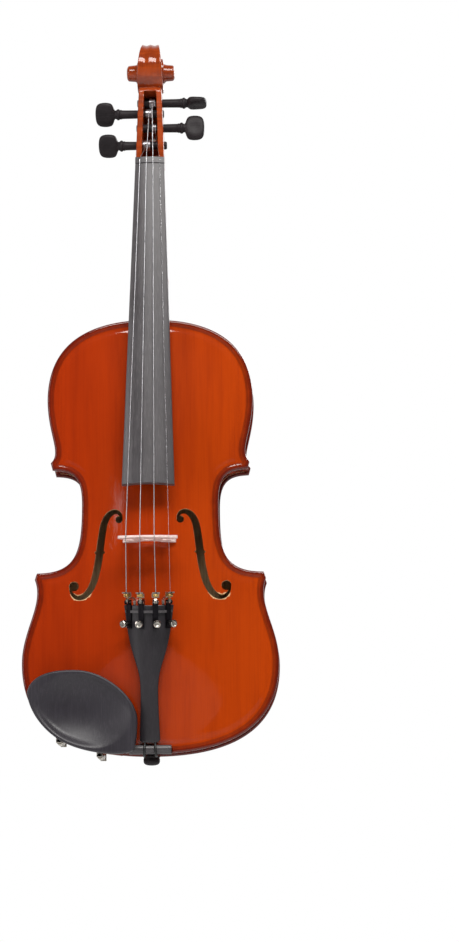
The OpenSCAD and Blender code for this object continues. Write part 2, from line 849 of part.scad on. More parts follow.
// Half width of the tailpiece, wide at the strings, narrow in the middle, flared at the end
tail_half = concat(
    [[6, 0], [8.2, 2]],
    bezier([[8.2, 2], [7.6, 22], [6.6, 34], [7.4, 48]], 6),
    bezier([[7.4, 48], [8.6, 62], [13, 66], [tail_w / 2 - 3, 88]], 7),
    [[tail_w / 2, tail_l]]
);

tail_r_low = 14;
tail_r_high = 27;
tail_shell = 4;
tail_depth = 10.5;
// Its sides are shallower at the low end, clear of the belly
tail_low_depth = 5.6;
tuner_row_y = 95.5;
hole_r = 1.7;

// Angle of each tuner around the tailpiece's crown
tuner_angle = [-37, -12.5, 12.5, 37];

module tailpiece() {
    color(ebony) stand() difference() {
        tail_frame() intersection() {
            translate([0, 0, -tail_depth]) linear_extrude(2 * tail_depth) polygon(concat(
                tail_half, reversed(mirrored(tail_half))));
            side_view(2 * tail_w) polygon([[0, -tail_low_depth], [tail_l + 1, -tail_depth - 1],
                [tail_l + 1, tail_depth], [0, tail_depth]]);
            translate([0, 0, -tail_r_low]) rotate([-90, 0, 0]) rotate([-tail_cone, 0, 0])
                cylinder(r1 = tail_r_low, r2 = tail_r_high, h = tail_l + 1, $fn = 90);
        }
        tail_frame() translate([0, -eps, -tail_r_low]) rotate([-90, 0, 0]) rotate([-tail_cone, 0, 0])
            cylinder(r1 = tail_r_low - tail_shell, r2 = tail_r_high - tail_shell,
                     h = tail_l + 2, $fn = 90);
        tail_frame() for (i = [0 : 3]) tuner_place(i) translate([0, 0, -8]) cylinder(r = hole_r, h = 16);
        mirrored_pair() bar(gut_path[0] - 2 * (gut_path[1] - gut_path[0]), gut_path[1], gut_r + 0.1);
    }
}

// The crown line stays straight while the section's radius grows
tail_cone = atan((tail_r_high - tail_r_low) / tail_l);

// Frame of one tuner: y up the string, z out of the tailpiece's surface, origin on the surface
row_r = tail_r_low + (tail_r_high - tail_r_low) * tuner_row_y / tail_l;
module tuner_place(i) {
    translate([0, tuner_row_y, -row_r]) rotate([0, tuner_angle[i], 0])
        translate([0, 0, row_r]) children();
}

// A point (y, z) on a tuner's middle plane, taken to the body's frame
function tuner_to_body(i, y, z) =
    let (out = row_r + z, along = tuner_row_y + y, up = out * cos(tuner_angle[i]) - row_r)
    [out * sin(tuner_angle[i]),
     tail_bottom[0] + along * cos(tail_tilt) - up * sin(tail_tilt),
     tail_bottom[1] + along * sin(tail_tilt) + up * cos(tail_tilt)];
function ball_centre(i) = tuner_to_body(i, ball_y, ball_z);

fret_t = 2;

module tailpiece_fret() {
    r = tail_r_high - 1;
    color(ebony) stand() tail_frame() intersection() {
        translate([0, 0, -r]) difference() {
            translate([0, tail_l - 6, 0]) rotate([-90, 0, 0]) cylinder(r = r + fret_t, h = fret_t);
            translate([0, tail_l - 7, 0]) rotate([-90, 0, 0]) cylinder(r = r + 0.3, h = 2 * fret_t);
        }
        difference() {
            translate([-tail_w / 2 + 1, 0, -8]) cube([tail_w - 2, tail_l, 12]);
            for (i = [0 : 3]) tuner_place(i) translate([-bracket_w / 2 - 0.1, 0, -2])
                cube([bracket_w + 0.2, bracket_l, 6]);
        }
    }
}

gut_r = 1;
groove_y = 1.85;
gut_ring_r = button_bore_r + gut_r + 0.1;

// Points where the gut bends over the saddle, given by their angle from the top
function over_saddle(x, angle) = let (r = saddle_round + gut_r + 0.4)
    [x, saddle_axis[0] + r * sin(angle), saddle_axis[1] + r * cos(angle)];
gut_path = [[4, tail_bottom[0] + 6, tail_bottom[1] - 2.6], over_saddle(4.2, 38), over_saddle(4.4, 0),
            over_saddle(4.6, -40), [4.8, -1.5, 6.4], [4.9, -1.4, 0.5], [5, groove_y, -9.5],
            [gut_ring_r, groove_y, button_z]];

module tailgut() {
    last = len(gut_path) - 1;
    color(ebony) stand() {
        mirrored_pair() {
            for (k = [0 : last - 1]) bar(gut_path[k], gut_path[k + 1], gut_r);
            for (k = [1 : last]) translate(gut_path[k]) sphere(r = bend_factor * gut_r, $fn = 16);
        }
        translate([0, groove_y, button_z]) rotate([90, 0, 0]) rotate_extrude()
            translate([gut_ring_r, 0]) circle(gut_r, $fn = 16);
    }
}

button_l = 8;

module end_button() {
    color(ebony) stand() translate([0, 0, button_z]) rotate([90, 0, 0]) rotate_extrude() polygon(concat(
        [[0, -button_bore_y + 0.5], [button_bore_r - running, -button_bore_y + 0.5],
         [button_bore_r - running, -0.6], [button_r - 1.2, -0.6], [button_r, 0.4],
         [button_r, button_l - 2.6]],
        [for (a = [15 : 15 : 90]) [button_r - 2.6 + 2.6 * cos(a), button_l - 2.6 + 2.6 * sin(a)]],
        [[0, button_l]]));
}

// ---- Fine tuners ------------------------------------------------------------------------

// A bracket clamped to the tailpiece, a bent lever that holds the string, and its screw
bracket_l = 23;
bracket_w = 4.4;
bracket_t = 1.2;
bracket_lift = 0.15;
ear_r = 1.9;
ear_t = 0.8;
pivot_y = 17;
pivot_z = 2.2;
pivot_r = 0.9;
screw_r = 1.25;
knob_r = 3;
knob_h = 3.6;
boss_r = 2.2;
boss_h = 1.6;
stem_r = hole_r - 0.1;
// The nut under the tailpiece that clamps the bracket
clamp_nut = [-5.75, 1.1, 2.6];

module tuner_bracket(i) {
    color(black_steel) stand() tail_frame() tuner_place(i) difference() {
        union() {
            translate([-bracket_w / 2, -4, bracket_lift]) cube([bracket_w, bracket_l, bracket_t]);
            translate([0, 0, clamp_nut[0]]) cylinder(r = stem_r, h = bracket_t - clamp_nut[0]);
            translate([0, 0, clamp_nut[0]]) cylinder(r = clamp_nut[2], h = clamp_nut[1]);
            translate([0, 0, bracket_t]) cylinder(r = boss_r, h = boss_h);
            for (side = [-1, 1]) translate([side * (bracket_w - ear_t) / 2, pivot_y, pivot_z])
                rotate([0, 90, 0]) cylinder(r = ear_r, h = ear_t, center = true);
        }
        translate([0, 0, -10]) cylinder(r = screw_r + running, h = 20);
        translate([-bracket_w / 2 - 1, pivot_y, pivot_z]) rotate([0, 90, 0])
            cylinder(r = pivot_r + running, h = bracket_w + 2);
        translate([-lever_w / 2 - clear, pivot_y - 3, bracket_t + bracket_lift])
            cube([lever_w + 2 * clear, 8, 5]);
        translate([-lever_w / 2 - clear, pivot_y + 1.6, -1]) cube([lever_w + 2 * clear, 8, 5]);
    }
}

lever_w = 2.2;
arm_top = -5.9;
arm_t = 1;
arm_back = -2.6;
drop_y = 19.6;
drop_t = 1.4;
fork_w = 6;
fork_slot = 1.5;
fork_floor = 2.5;
fork_wall_y = 24.2;
fork_wall_t = 1.1;
fork_top = 5.8;
ball_y = fork_wall_y - ball_r - 0.05;
ball_z = fork_floor + ball_r;
ball_w = 4.2;

// The lever turns on its pin: its long arm lies under the tailpiece, its fork holds the string
module tuner_lever(i) {
    color(nickel) stand() tail_frame() tuner_place(i) {
        translate([-bracket_w / 2 - clear, pivot_y, pivot_z]) rotate([0, 90, 0])
            cylinder(r = pivot_r, h = bracket_w + 2 * clear);
        side_view(lever_w) polygon([
            [arm_back, arm_top - arm_t], [drop_y - 1, arm_top - arm_t],
            [drop_y + drop_t, arm_top + 1.4], [drop_y + drop_t, 0.6], [fork_wall_y, 1.4],
            [fork_wall_y, fork_floor], [drop_y + drop_t, fork_floor],
            [pivot_y + 2, pivot_z + 1.3], [pivot_y, pivot_z + 1.3],
            [pivot_y - 1.1, pivot_z], [pivot_y, pivot_z - 0.7], [drop_y, pivot_z - 0.7],
            [drop_y, arm_top + 1.8], [drop_y - 1.8, arm_top], [arm_back, arm_top]]);
        difference() {
            side_view(fork_w) polygon([
                [drop_y + 1.2, 1.2], [fork_wall_y + fork_wall_t, 1.2],
                [fork_wall_y + fork_wall_t, fork_top], [fork_wall_y, fork_top],
                [fork_wall_y, fork_floor], [drop_y + 1.2, fork_floor]]);
            translate([-fork_slot / 2, fork_wall_y - 0.1, fork_floor])
                cube([fork_slot, fork_wall_t + 1, fork_top]);
        }
    }
}

// The ball at a string's end lies in the lever's fork
module string_ball(i) {
    color(nickel) stand() tail_frame() tuner_place(i) translate([-ball_w / 2, ball_y, ball_z])
        rotate([0, 90, 0]) cylinder(r = ball_r, h = ball_w);
}

screw_cap_z = tuner_travel + bracket_t + boss_h + 2 * clear;

module tuner_screw(i) {
    screw_tip = arm_top + clear;
    color(nickel) stand() tail_frame() tuner_place(i) {
        translate([0, 0, screw_tip]) cylinder(r = screw_r, h = screw_cap_z - screw_tip + 1);
        translate([0, 0, screw_cap_z]) rotate_extrude() polygon([
            [0, 0], [knob_r - 0.5, 0], [knob_r, 0.5], [knob_r, knob_h - 0.5],
            [knob_r - 0.5, knob_h], [0, knob_h]]);
    }
}

module string_ball_g() {
    string_ball(0);
}

module string_ball_d() {
    string_ball(1);
}

module string_ball_a() {
    string_ball(2);
}

module string_ball_e() {
    string_ball(3);
}

module tuner_bracket_g() {
    tuner_bracket(0);
}

module tuner_bracket_d() {
    tuner_bracket(1);
}

module tuner_bracket_a() {
    tuner_bracket(2);
}

module tuner_bracket_e() {
    tuner_bracket(3);
}

module tuner_lever_g() {
    tuner_lever(0);
}

module tuner_lever_d() {
    tuner_lever(1);
}

module tuner_lever_a() {
    tuner_lever(2);
}

module tuner_lever_e() {
    tuner_lever(3);
}

module tuner_screw_g() {
    tuner_screw(0);
}

module tuner_screw_d() {
    tuner_screw(1);
}

module tuner_screw_a() {
    tuner_screw(2);
}

module tuner_screw_e() {
    tuner_screw(3);
}

// ---- Chinrest ---------------------------------------------------------------------------

cup_low = 11;
cup_h = 11.5;
dish_r = 78;
dish_depth = 8;
dish_centre = [-55, 34];
cup_outline = concat(
    bezier([[-98, 49], [-94, 66], [-72, 67], [-58, 66.5]], 7),
    drop_first(bezier([[-58, 66.5], [-38, 66], [-12, 48], [-9.6, 28]], 8)),
    drop_first(bezier([[-9.6, 28], [-9.4, 18], [-10.5, 6], [-13, 2]], 5)),
    drop_first(bezier([[-13, 2], [-20, -3.4], [-58, -0.5], [-76, 13.5]], 7)),
    drop_first(bezier([[-76, 13.5], [-90, 24], [-97, 38], [-98, 49]], 5))
);

stud_x = [-73.2, -40.6];
// The studs stand just outside the rib
function rib_y(x) = let (hits = [for (i = [0 : len(lower_end) - 2])
        if (lower_end[i][0] <= abs(x) && lower_end[i + 1][0] > abs(x)) i], i = hits[0],
        t = (abs(x) - lower_end[i][0]) / (lower_end[i + 1][0] - lower_end[i][0]))
    lower_end[i][1] + t * (lower_end[i + 1][1] - lower_end[i][1]);
barrel_r = 2.9;
stud_y = [for (x = stud_x) rib_y(x) - barrel_r - 1.4];
stud_r = 1.5;
barrel_top = -2;
barrel_l = 17;
cork_t = 1.3;
bracket_t_low = 1.5;
// Underside of the bracket, which stays clear of the back by a hair's breadth
bracket_low = -rib_h - edge_t - clear - cork_t - bracket_t_low;
stud_grip = 7;
min_grip = 5;
clip_z = edge_t + cork_t + 1;
clip_h = 2;

// Strip of the plate's edge that the chinrest clamps on, from beside the saddle outwards
strip_w = 7;
strip_near = saddle_w / 2 + 1.5;
strip_far = 84;

module edge_strip(z, h) {
    span = [for (p = mirrored(lower_end)) if (p[0] < -strip_near && p[0] > -strip_far) p];
    translate([0, 0, z]) linear_extrude(h) polygon(concat(
        span, reversed([for (p = inset(mirrored(lower_end), -strip_w))
            if (p[0] < -strip_near && p[0] > strip_w / 2 - strip_far) p])));
}

module chinrest_cup() {
    color(ebony) stand() {
        difference() {
            translate([0, 0, cup_low]) linear_extrude(cup_h) polygon(cup_outline);
            translate([dish_centre[0], dish_centre[1], cup_low + cup_h - dish_depth + dish_r])
                sphere(r = dish_r, $fn = 96);
        }
        edge_strip(edge_t + cork_t, cup_low - edge_t - cork_t + eps);
        for (k = [0, 1]) translate([stud_x[k], stud_y[k], 0]) {
            translate([0, 0, barrel_top - stud_grip])
                cylinder(r = stud_r, h = clip_z + clip_h - barrel_top + stud_grip);
            translate([-4, -2.4, clip_z]) cube([8, 14, clip_h]);
        }
    }
}

module chinrest_cork() {
    color(cork) stand() edge_strip(edge_t, cork_t);
}

module clamp_bracket() {
    leg_top = barrel_top - barrel_l + clamp_travel + min_grip;
    color(nickel) stand() {
        edge_strip(bracket_low, bracket_t_low);
        for (k = [0, 1]) translate([stud_x[k], stud_y[k], bracket_low]) {
            cylinder(r = stud_r, h = leg_top - bracket_low);
            translate([-2.4, -2, 0]) cube([4.8, 12, bracket_t_low]);
        }
    }
}

module bracket_cork() {
    color(cork) stand() edge_strip(bracket_low + bracket_t_low, cork_t);
}

key_hole_r = 0.9;

// A turnbuckle sleeve on the cup's stud and the bracket's leg, with a cross hole for its key
module clamp_barrel(k) {
    color(nickel) stand() translate([stud_x[k], stud_y[k], barrel_top - barrel_l]) difference() {
        cylinder(r = barrel_r, h = barrel_l);
        translate([0, 0, -1]) cylinder(r = stud_r + running, h = barrel_l + 2);
        translate([-5, 0, barrel_l / 2]) rotate([0, 90, 0]) cylinder(r = key_hole_r, h = 10);
    }
}

module clamp_barrel_outer() {
    clamp_barrel(0);
}

module clamp_barrel_inner() {
    clamp_barrel(1);
}

top_plate();
back_plate();
upper_rib_bass();
upper_rib_treble();
middle_rib_bass();
middle_rib_treble();
lower_rib_bass();
lower_rib_treble();
upper_block();
lower_block();
corner_blocks();
top_linings();
back_linings();
bass_bar();
sound_post();
neck();
fingerboard();
nut();
saddle();
bridge();
tailpiece();
tailpiece_fret();
tailgut();
end_button();
string_g();
string_d();
string_a();
string_e();
string_ball_g();
string_ball_d();
string_ball_a();
string_ball_e();
peg_g();
peg_d();
peg_a();
peg_e();
winding_g();
winding_d();
winding_a();
winding_e();
tuner_bracket_g();
tuner_bracket_d();
tuner_bracket_a();
tuner_bracket_e();
tuner_lever_g();
tuner_lever_d();
tuner_lever_a();
tuner_lever_e();
tuner_screw_g();
tuner_screw_d();
tuner_screw_a();
tuner_screw_e();
chinrest_cup();
chinrest_cork();
clamp_bracket();
bracket_cork();
clamp_barrel_outer();
clamp_barrel_inner();
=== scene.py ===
import math

import bmesh
import bpy
import numpy as np
from mathutils import Matrix, Vector
from mathutils.geometry import delaunay_2d_cdt


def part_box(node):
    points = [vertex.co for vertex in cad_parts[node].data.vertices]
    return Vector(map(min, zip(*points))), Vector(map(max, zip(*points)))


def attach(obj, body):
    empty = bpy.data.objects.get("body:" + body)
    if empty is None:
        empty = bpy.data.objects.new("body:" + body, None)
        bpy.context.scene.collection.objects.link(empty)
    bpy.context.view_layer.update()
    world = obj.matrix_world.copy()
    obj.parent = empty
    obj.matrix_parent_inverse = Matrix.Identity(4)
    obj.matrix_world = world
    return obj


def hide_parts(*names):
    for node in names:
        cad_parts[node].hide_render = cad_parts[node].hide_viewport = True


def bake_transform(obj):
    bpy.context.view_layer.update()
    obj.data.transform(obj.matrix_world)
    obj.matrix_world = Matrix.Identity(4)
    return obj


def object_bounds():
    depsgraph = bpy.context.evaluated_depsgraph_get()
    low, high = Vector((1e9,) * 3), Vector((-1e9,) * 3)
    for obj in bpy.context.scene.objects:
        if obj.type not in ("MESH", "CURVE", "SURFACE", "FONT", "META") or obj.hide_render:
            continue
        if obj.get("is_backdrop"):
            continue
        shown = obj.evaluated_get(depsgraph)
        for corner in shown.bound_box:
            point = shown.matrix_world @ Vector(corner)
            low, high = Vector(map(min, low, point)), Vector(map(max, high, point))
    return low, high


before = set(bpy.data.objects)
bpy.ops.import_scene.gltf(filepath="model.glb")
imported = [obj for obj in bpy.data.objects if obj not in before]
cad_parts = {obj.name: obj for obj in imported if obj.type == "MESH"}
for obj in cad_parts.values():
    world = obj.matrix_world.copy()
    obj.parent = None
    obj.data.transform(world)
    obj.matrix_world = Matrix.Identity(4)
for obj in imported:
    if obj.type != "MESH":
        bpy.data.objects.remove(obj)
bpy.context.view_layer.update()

# Lengths below are in millimetres in the maker's frame: x across (bass side negative), y along the
# body from its lower edge, z out of the belly with 0 at the joint between ribs and belly.
# row() takes them to metres in the shared frame.
MM = 0.001
JOINT_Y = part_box("top_plate")[1].y
FOOT_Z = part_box("saddle")[0].z
STRINGS = ("g", "d", "a", "e")


def row(points):
    p = np.asarray(points, float)
    return np.stack([p[..., 0] * MM, JOINT_Y - p[..., 2] * MM, FOOT_Z + p[..., 1] * MM], -1)


# ---- Shapes of the instrument ---------------------------------------------------------------

BODY_L = 356.0
LOWER_X, WAIST_X, UPPER_X = 104.0, 55.6, 84.0
LOWER_Y, WAIST_Y, UPPER_Y = 74.0, 203.0, 289.0
RIB_H = 31.0
RIB_T = 1.2
OVERHANG = 3.0
EDGE_T = 3.8
BELLY_ARCH, BACK_ARCH, PLATE_T = 15.5, 14.5, 3.0
NECK_L, NECK_TILT, NECK_RISE = 132.5, math.radians(6.1), 10.0
NUT_W, NUT_L, BOARD_L, BOARD_W, BOARD_R, BOARD_T = 24.0, 5.0, 275.0, 42.5, 42.0, 5.5
BRIDGE_Y, BRIDGE_TOP, BRIDGE_ARC = 170.0, 46.5, 41.5
BRIDGE_SPREAD, NUT_SPREAD = 34.5, 16.5
STRING_R = (0.4, 0.38, 0.34, 0.15)
STRING_T = (-0.5, -1 / 6, 1 / 6, 0.5)


def bezier(a, b, c, d, n):
    t = np.linspace(0, 1, n + 1)[:, None]
    a, b, c, d = (np.array(p, float) for p in (a, b, c, d))
    return (1 - t) ** 3 * a + 3 * (1 - t) ** 2 * t * b + 3 * (1 - t) * t * t * c + t**3 * d


def chain(*curves):
    return np.concatenate([curves[0]] + [c[1:] for c in curves[1:]])


def mirrored(points):
    return points * np.array([-1.0, 1.0])


LOWER_TIP = ((LOWER_X - 10.2, 141.5), (LOWER_X - 12, 147.0))
UPPER_TIP = ((UPPER_X - 4.5, 231.2), (UPPER_X - 2.8, 237.5))
lower_end = bezier((0, 0), (LOWER_X - 32, 0), (LOWER_X, LOWER_Y - 48), (LOWER_X, LOWER_Y), 90)
lower_flank = bezier((LOWER_X, LOWER_Y), (LOWER_X, LOWER_Y + 27),
                     (LOWER_X - 18, LOWER_Y + 48), LOWER_TIP[0], 44)
lower_cut = bezier(LOWER_TIP[0], (LOWER_X - 10.6, 143.4), (LOWER_X - 11.2, 145.3), LOWER_TIP[1], 5)
waist_low = bezier(LOWER_TIP[1], (WAIST_X + 4.5, 147.2), (WAIST_X, 163), (WAIST_X, WAIST_Y), 52)
waist_high = bezier((WAIST_X, WAIST_Y), (WAIST_X, 225), (WAIST_X + 6, 230.8), UPPER_TIP[0], 32)
upper_cut = bezier(UPPER_TIP[0], (UPPER_X - 3.9, 233.3), (UPPER_X - 3.3, 235.5), UPPER_TIP[1], 5)
upper_flank = bezier(UPPER_TIP[1], (UPPER_X - 12, 246), (UPPER_X - 0.5, UPPER_Y - 29),
                     (UPPER_X, UPPER_Y), 36)
upper_end = bezier((UPPER_X, UPPER_Y), (UPPER_X, UPPER_Y + 38), (UPPER_X - 21, BODY_L),
                   (0, BODY_L), 76)
half = chain(lower_end, lower_flank, lower_cut, waist_low, waist_high, upper_cut, upper_flank,
             upper_end)
outline = np.concatenate([half, mirrored(half)[-2:0:-1]])


def offset(points, d):
    """Points of an open curve moved to its left by d."""
    along = np.gradient(points, axis=0)
    along /= np.linalg.norm(along, axis=1)[:, None]
    return points + d * np.stack([-along[:, 1], along[:, 0]], 1)


def offset_loop(points, d):
    along = np.roll(points, -1, 0) - np.roll(points, 1, 0)
    along /= np.linalg.norm(along, axis=1)[:, None]
    return points + d * np.stack([-along[:, 1], along[:, 0]], 1)


def distance_to(points, loop):
    best = np.full(len(points), 1e9)
    for a, b in zip(loop, np.roll(loop, -1, 0)):
        span = b - a
        t = np.clip(((points - a) @ span) / max(span @ span, 1e-12), 0, 1)
        best = np.minimum(best, np.hypot(*(points - a - t[:, None] * span).T))
    return best


def inside(points, loop):
    x, y = points.T
    result = np.zeros(len(points), bool)
    for (ax, ay), (bx, by) in zip(loop, np.roll(loop, -1, 0)):
        crossed = (ay > y) != (by > y)
        if crossed.any():
            result ^= crossed & (x < (bx - ax) * (y - ay) / (by - ay + 1e-30) + ax)
    return result


def around(n):
    """Angles of n even steps round a circle."""
    return np.linspace(0, 2 * np.pi, n, endpoint=False)


def ease(t):
    t = np.clip(t, 0, 1)
    return (1 - np.cos(np.pi * t)) / 2


def arch_half(y):
    """Half width of the arched part of a plate."""
    lower, waist, upper = LOWER_X - 9, WAIST_X - 6, UPPER_X - 8
    low = lower * np.sqrt(np.clip(1 - ((LOWER_Y - y) / (LOWER_Y - 7)) ** 2, 0, 1))
    high = upper * np.sqrt(np.clip(1 - ((y - UPPER_Y) / (BODY_L - 7 - UPPER_Y)) ** 2, 0, 1))
    return np.select(
        [y < LOWER_Y, y < WAIST_Y, y < UPPER_Y],
        [low, lower + (waist - lower) * ease((y - LOWER_Y) / (WAIST_Y - LOWER_Y)),
         waist + (upper - waist) * ease((y - WAIST_Y) / (UPPER_Y - WAIST_Y))], high)


def arched(x, y, arch):
    """Height of a plate's outer face over the joint."""
    t = np.abs(2 * (y - 7) / (BODY_L - 14) - 1)
    along = np.where(t < 1, (1 - np.clip(t, 0, 1) ** 2.4) ** 1.2, 0)
    a = arch_half(y)
    across = np.where(a > 1, np.clip(np.abs(x) / np.maximum(a, 1), 0, 1), 1)
    return EDGE_T + (arch - EDGE_T) * along * (1 + np.cos(np.pi * across)) / 2


def belly_z(x, y):
    return float(arched(np.array([x], float), np.array([y], float), BELLY_ARCH)[0])


# ---- Materials --------------------------------------------------------------------------------


def new_material(name):
    material = bpy.data.materials.new(name)
    material.use_nodes = True
    tree = material.node_tree
    return material, tree, tree.nodes["Principled BSDF"]


def node(tree, kind, inputs=None, **settings):
    made = tree.nodes.new(kind)
    for key, value in settings.items():
        setattr(made, key, value)
    for key, value in (inputs or {}).items():
        if isinstance(value, bpy.types.NodeSocket):
            tree.links.new(value, made.inputs[key])
        else:
            made.inputs[key].default_value = value
    return made


def stretched_noise(tree, scale, detail=3.0, roughness=0.55, distortion=0.0):
    """Noise over the piece's own coordinates, with a separate scale along each axis."""
    place = node(tree, "ShaderNodeTexCoord")
    mapped = node(tree, "ShaderNodeMapping", {"Vector": place.outputs["Object"], "Scale": scale})
    made = node(tree, "ShaderNodeTexNoise", {
        "Vector": mapped.outputs["Vector"], "Scale": 1.0, "Detail": detail,
        "Roughness": roughness, "Distortion": distortion})
    return made.outputs["Fac"]


def maths(tree, operation, a, b=0.0, c=0.0):
    return node(tree, "ShaderNodeMath", {0: a, 1: b, 2: c}, operation=operation).outputs[0]


def spread(tree, value, low, high, to_low=0.0, to_high=1.0):
    made = node(tree, "ShaderNodeMapRange", {
        "Value": value, "From Min": low, "From Max": high, "To Min": to_low, "To Max": to_high},
        interpolation_type="SMOOTHSTEP")
    return made.outputs["Result"]


def mixed(tree, factor, a, b):
    made = node(tree, "ShaderNodeMix", data_type="RGBA")
    for name, value in (("Factor", factor), ("A", a), ("B", b)):
        socket = [s for s in made.inputs if s.name == name and s.enabled][0]
        if isinstance(value, bpy.types.NodeSocket):
            tree.links.new(value, socket)
        else:
            socket.default_value = value
    return [s for s in made.outputs if s.enabled][0]


def bump(tree, shader, height, distance, strength=1.0, coat=False):
    made = node(tree, "ShaderNodeBump", {"Height": height, "Distance": distance,
                                         "Strength": strength})
    tree.links.new(made.outputs["Normal"], shader.inputs["Normal"])
    if coat:
        tree.links.new(made.outputs["Normal"], shader.inputs["Coat Normal"])


def rgb(r, g, b):
    """Linear colour of an sRGB colour given in 0 to 255."""
    return tuple((c / 255 / 12.92 if c < 10.3 else ((c / 255 + 0.055) / 1.055) ** 2.4)
                 for c in (r, g, b)) + (1.0,)


def coordinate(tree, axis):
    place = node(tree, "ShaderNodeTexCoord")
    parts = node(tree, "ShaderNodeSeparateXYZ", {0: place.outputs["Object"]})
    return parts.outputs[axis]


def shaded_edge(tree, colour, edge, line):
    """Darker towards a plate's edge, partly a sunburst varnish and partly painted shade where the rim
    rolls over and the channel dips, with a line of purfling set in from it.
    """
    depth = node(tree, "ShaderNodeAttribute", attribute_name="edge_d").outputs["Fac"]
    wander = maths(tree, "ADD", depth, maths(
        tree, "MULTIPLY", stretched_noise(tree, (90, 90, 90), 2.0), 3.0))
    # Partly painted shade: the edge band stands in for the darker rim and channel as well as the
    # sunburst varnish
    shade = spread(tree, wander, 8.6, 2.2)
    colour = mixed(tree, maths(tree, "MULTIPLY", shade, 0.9), colour, edge)
    strips = node(tree, "ShaderNodeValToRGB", {"Fac": maths(tree, "DIVIDE", depth, 10.0)})
    ramp = strips.color_ramp
    ramp.interpolation = "LINEAR"
    stops = ((0.0, 0), (0.385, 0), (0.395, 1), (0.435, 1), (0.445, 0.25), (0.475, 0.25),
             (0.485, 1), (0.525, 1), (0.535, 0))
    while len(ramp.elements) < len(stops):
        ramp.elements.new(0.5)
    for element, (at, value) in zip(ramp.elements, stops):
        element.position = at
        element.color = (value, value, value, 1)
    return mixed(tree, maths(tree, "MULTIPLY", strips.outputs["Color"], 0.45), colour, line)


def varnish(name, red, orange, dark, flame, edge=None, line=None, grain=0.35, coat_rough=0.06,
            worn=None):
    """Varnished wood: fine grain along Z, and cross flames where flame is above 0."""
    material, tree, shader = new_material(name)
    drift = stretched_noise(tree, (9, 9, 4), 2.0)
    across = spread(tree, maths(tree, "ADD", coordinate(tree, 0), maths(
        tree, "MULTIPLY_ADD", drift, 0.09, -0.045)), -0.07, 0.075)
    colour = mixed(tree, across, red, orange)
    streaks = spread(tree, stretched_noise(tree, (950, 300, 9), 4.0, 0.6), 0.42, 0.68)
    broad = spread(tree, stretched_noise(tree, (90, 50, 7), 4.0, 0.6), 0.40, 0.72)
    colour = mixed(tree, maths(tree, "MULTIPLY", streaks, grain * 0.45), colour, dark)
    colour = mixed(tree, maths(tree, "MULTIPLY", broad, grain), colour, dark)
    height = streaks
    if flame:
        waves = stretched_noise(tree, (26, 14, 210), 2.0, 0.5, 0.6)
        bands = spread(tree, waves, 0.40, 0.62)
        colour = mixed(tree, maths(tree, "MULTIPLY", bands, flame), colour, dark)
        pores = spread(tree, stretched_noise(tree, (1500, 1500, 70), 2.0), 0.60, 0.75)
        colour = mixed(tree, maths(tree, "MULTIPLY", pores, 0.35), colour, dark)
        height = maths(tree, "ADD", bands, pores)
    if edge:
        colour = shaded_edge(tree, colour, edge, line)
    # Painted highlight: a cream colour along the sound holes' lower edges, standing in for light
    # catching their cut edges
    if worn:
        highlight_mask = node(tree, "ShaderNodeAttribute", attribute_name="worn").outputs["Fac"]
        colour = mixed(tree, spread(tree, highlight_mask, 0.35, 0.8), colour, worn)
    tree.links.new(colour, shader.inputs["Base Color"])
    peel = stretched_noise(tree, (160, 160, 130), 2.0)
    both = maths(tree, "MULTIPLY_ADD", peel, 1.2, maths(tree, "MULTIPLY", height, 0.35))
    bump(tree, shader, both, 0.00006, 0.55, coat=True)
    shader.inputs["Roughness"].default_value = 0.5
    shader.inputs["Specular IOR Level"].default_value = 0.03
    shader.inputs["Coat Weight"].default_value = 1.0
    shader.inputs["Coat Roughness"].default_value = coat_rough
    return material


def bare_wood(name, light, dark, scale=(700, 700, 14), rough=0.7):
    material, tree, shader = new_material(name)
    lines = spread(tree, stretched_noise(tree, scale, 4.0, 0.6), 0.38, 0.70)
    blotch = stretched_noise(tree, (60, 60, 30), 2.0)
    colour = mixed(tree, maths(tree, "MULTIPLY", lines, 0.55), light, dark)
    colour = mixed(tree, maths(tree, "MULTIPLY", blotch, 0.25), colour, dark)
    tree.links.new(colour, shader.inputs["Base Color"])
    tree.links.new(spread(tree, blotch, 0.2, 0.8, rough - 0.1, rough + 0.1),
                   shader.inputs["Roughness"])
    bump(tree, shader, lines, 0.00005, 0.5)
    return material


def black_wood(name, colour, rough, scale=(1100, 1100, 30), shine=0.5):
    """Dyed hardwood with a satin polish."""
    material, tree, shader = new_material(name)
    pores = spread(tree, stretched_noise(tree, scale, 4.0, 0.6), 0.45, 0.72)
    cloud = stretched_noise(tree, (45, 45, 20), 3.0)
    paler = tuple(min(1.0, c * 2.2 + 0.004) for c in colour[:3]) + (1.0,)
    tone = mixed(tree, maths(tree, "MULTIPLY", pores, 0.5), colour, paler)
    tone = mixed(tree, maths(tree, "MULTIPLY", cloud, 0.35), tone, paler)
    tree.links.new(tone, shader.inputs["Base Color"])
    tree.links.new(spread(tree, cloud, 0.25, 0.75, rough - 0.05, rough + 0.07),
                   shader.inputs["Roughness"])
    bump(tree, shader, pores, 0.00004, 0.5)
    shader.inputs["Specular IOR Level"].default_value = shine
    return material


def metal(name, colour, rough, lines=(400, 400, 400), depth=0.00003):
    material, tree, shader = new_material(name)
    scratch = stretched_noise(tree, lines, 4.0, 0.65)
    haze = stretched_noise(tree, (220, 220, 220), 3.0)
    darker = tuple(c * 0.72 for c in colour[:3]) + (1.0,)
    tree.links.new(mixed(tree, spread(tree, haze, 0.45, 0.75), colour, darker),
                   shader.inputs["Base Color"])
    tree.links.new(spread(tree, scratch, 0.25, 0.75, rough - 0.06, rough + 0.10),
                   shader.inputs["Roughness"])
    shader.inputs["Metallic"].default_value = 1.0
    bump(tree, shader, scratch, depth, 0.4)
    return material


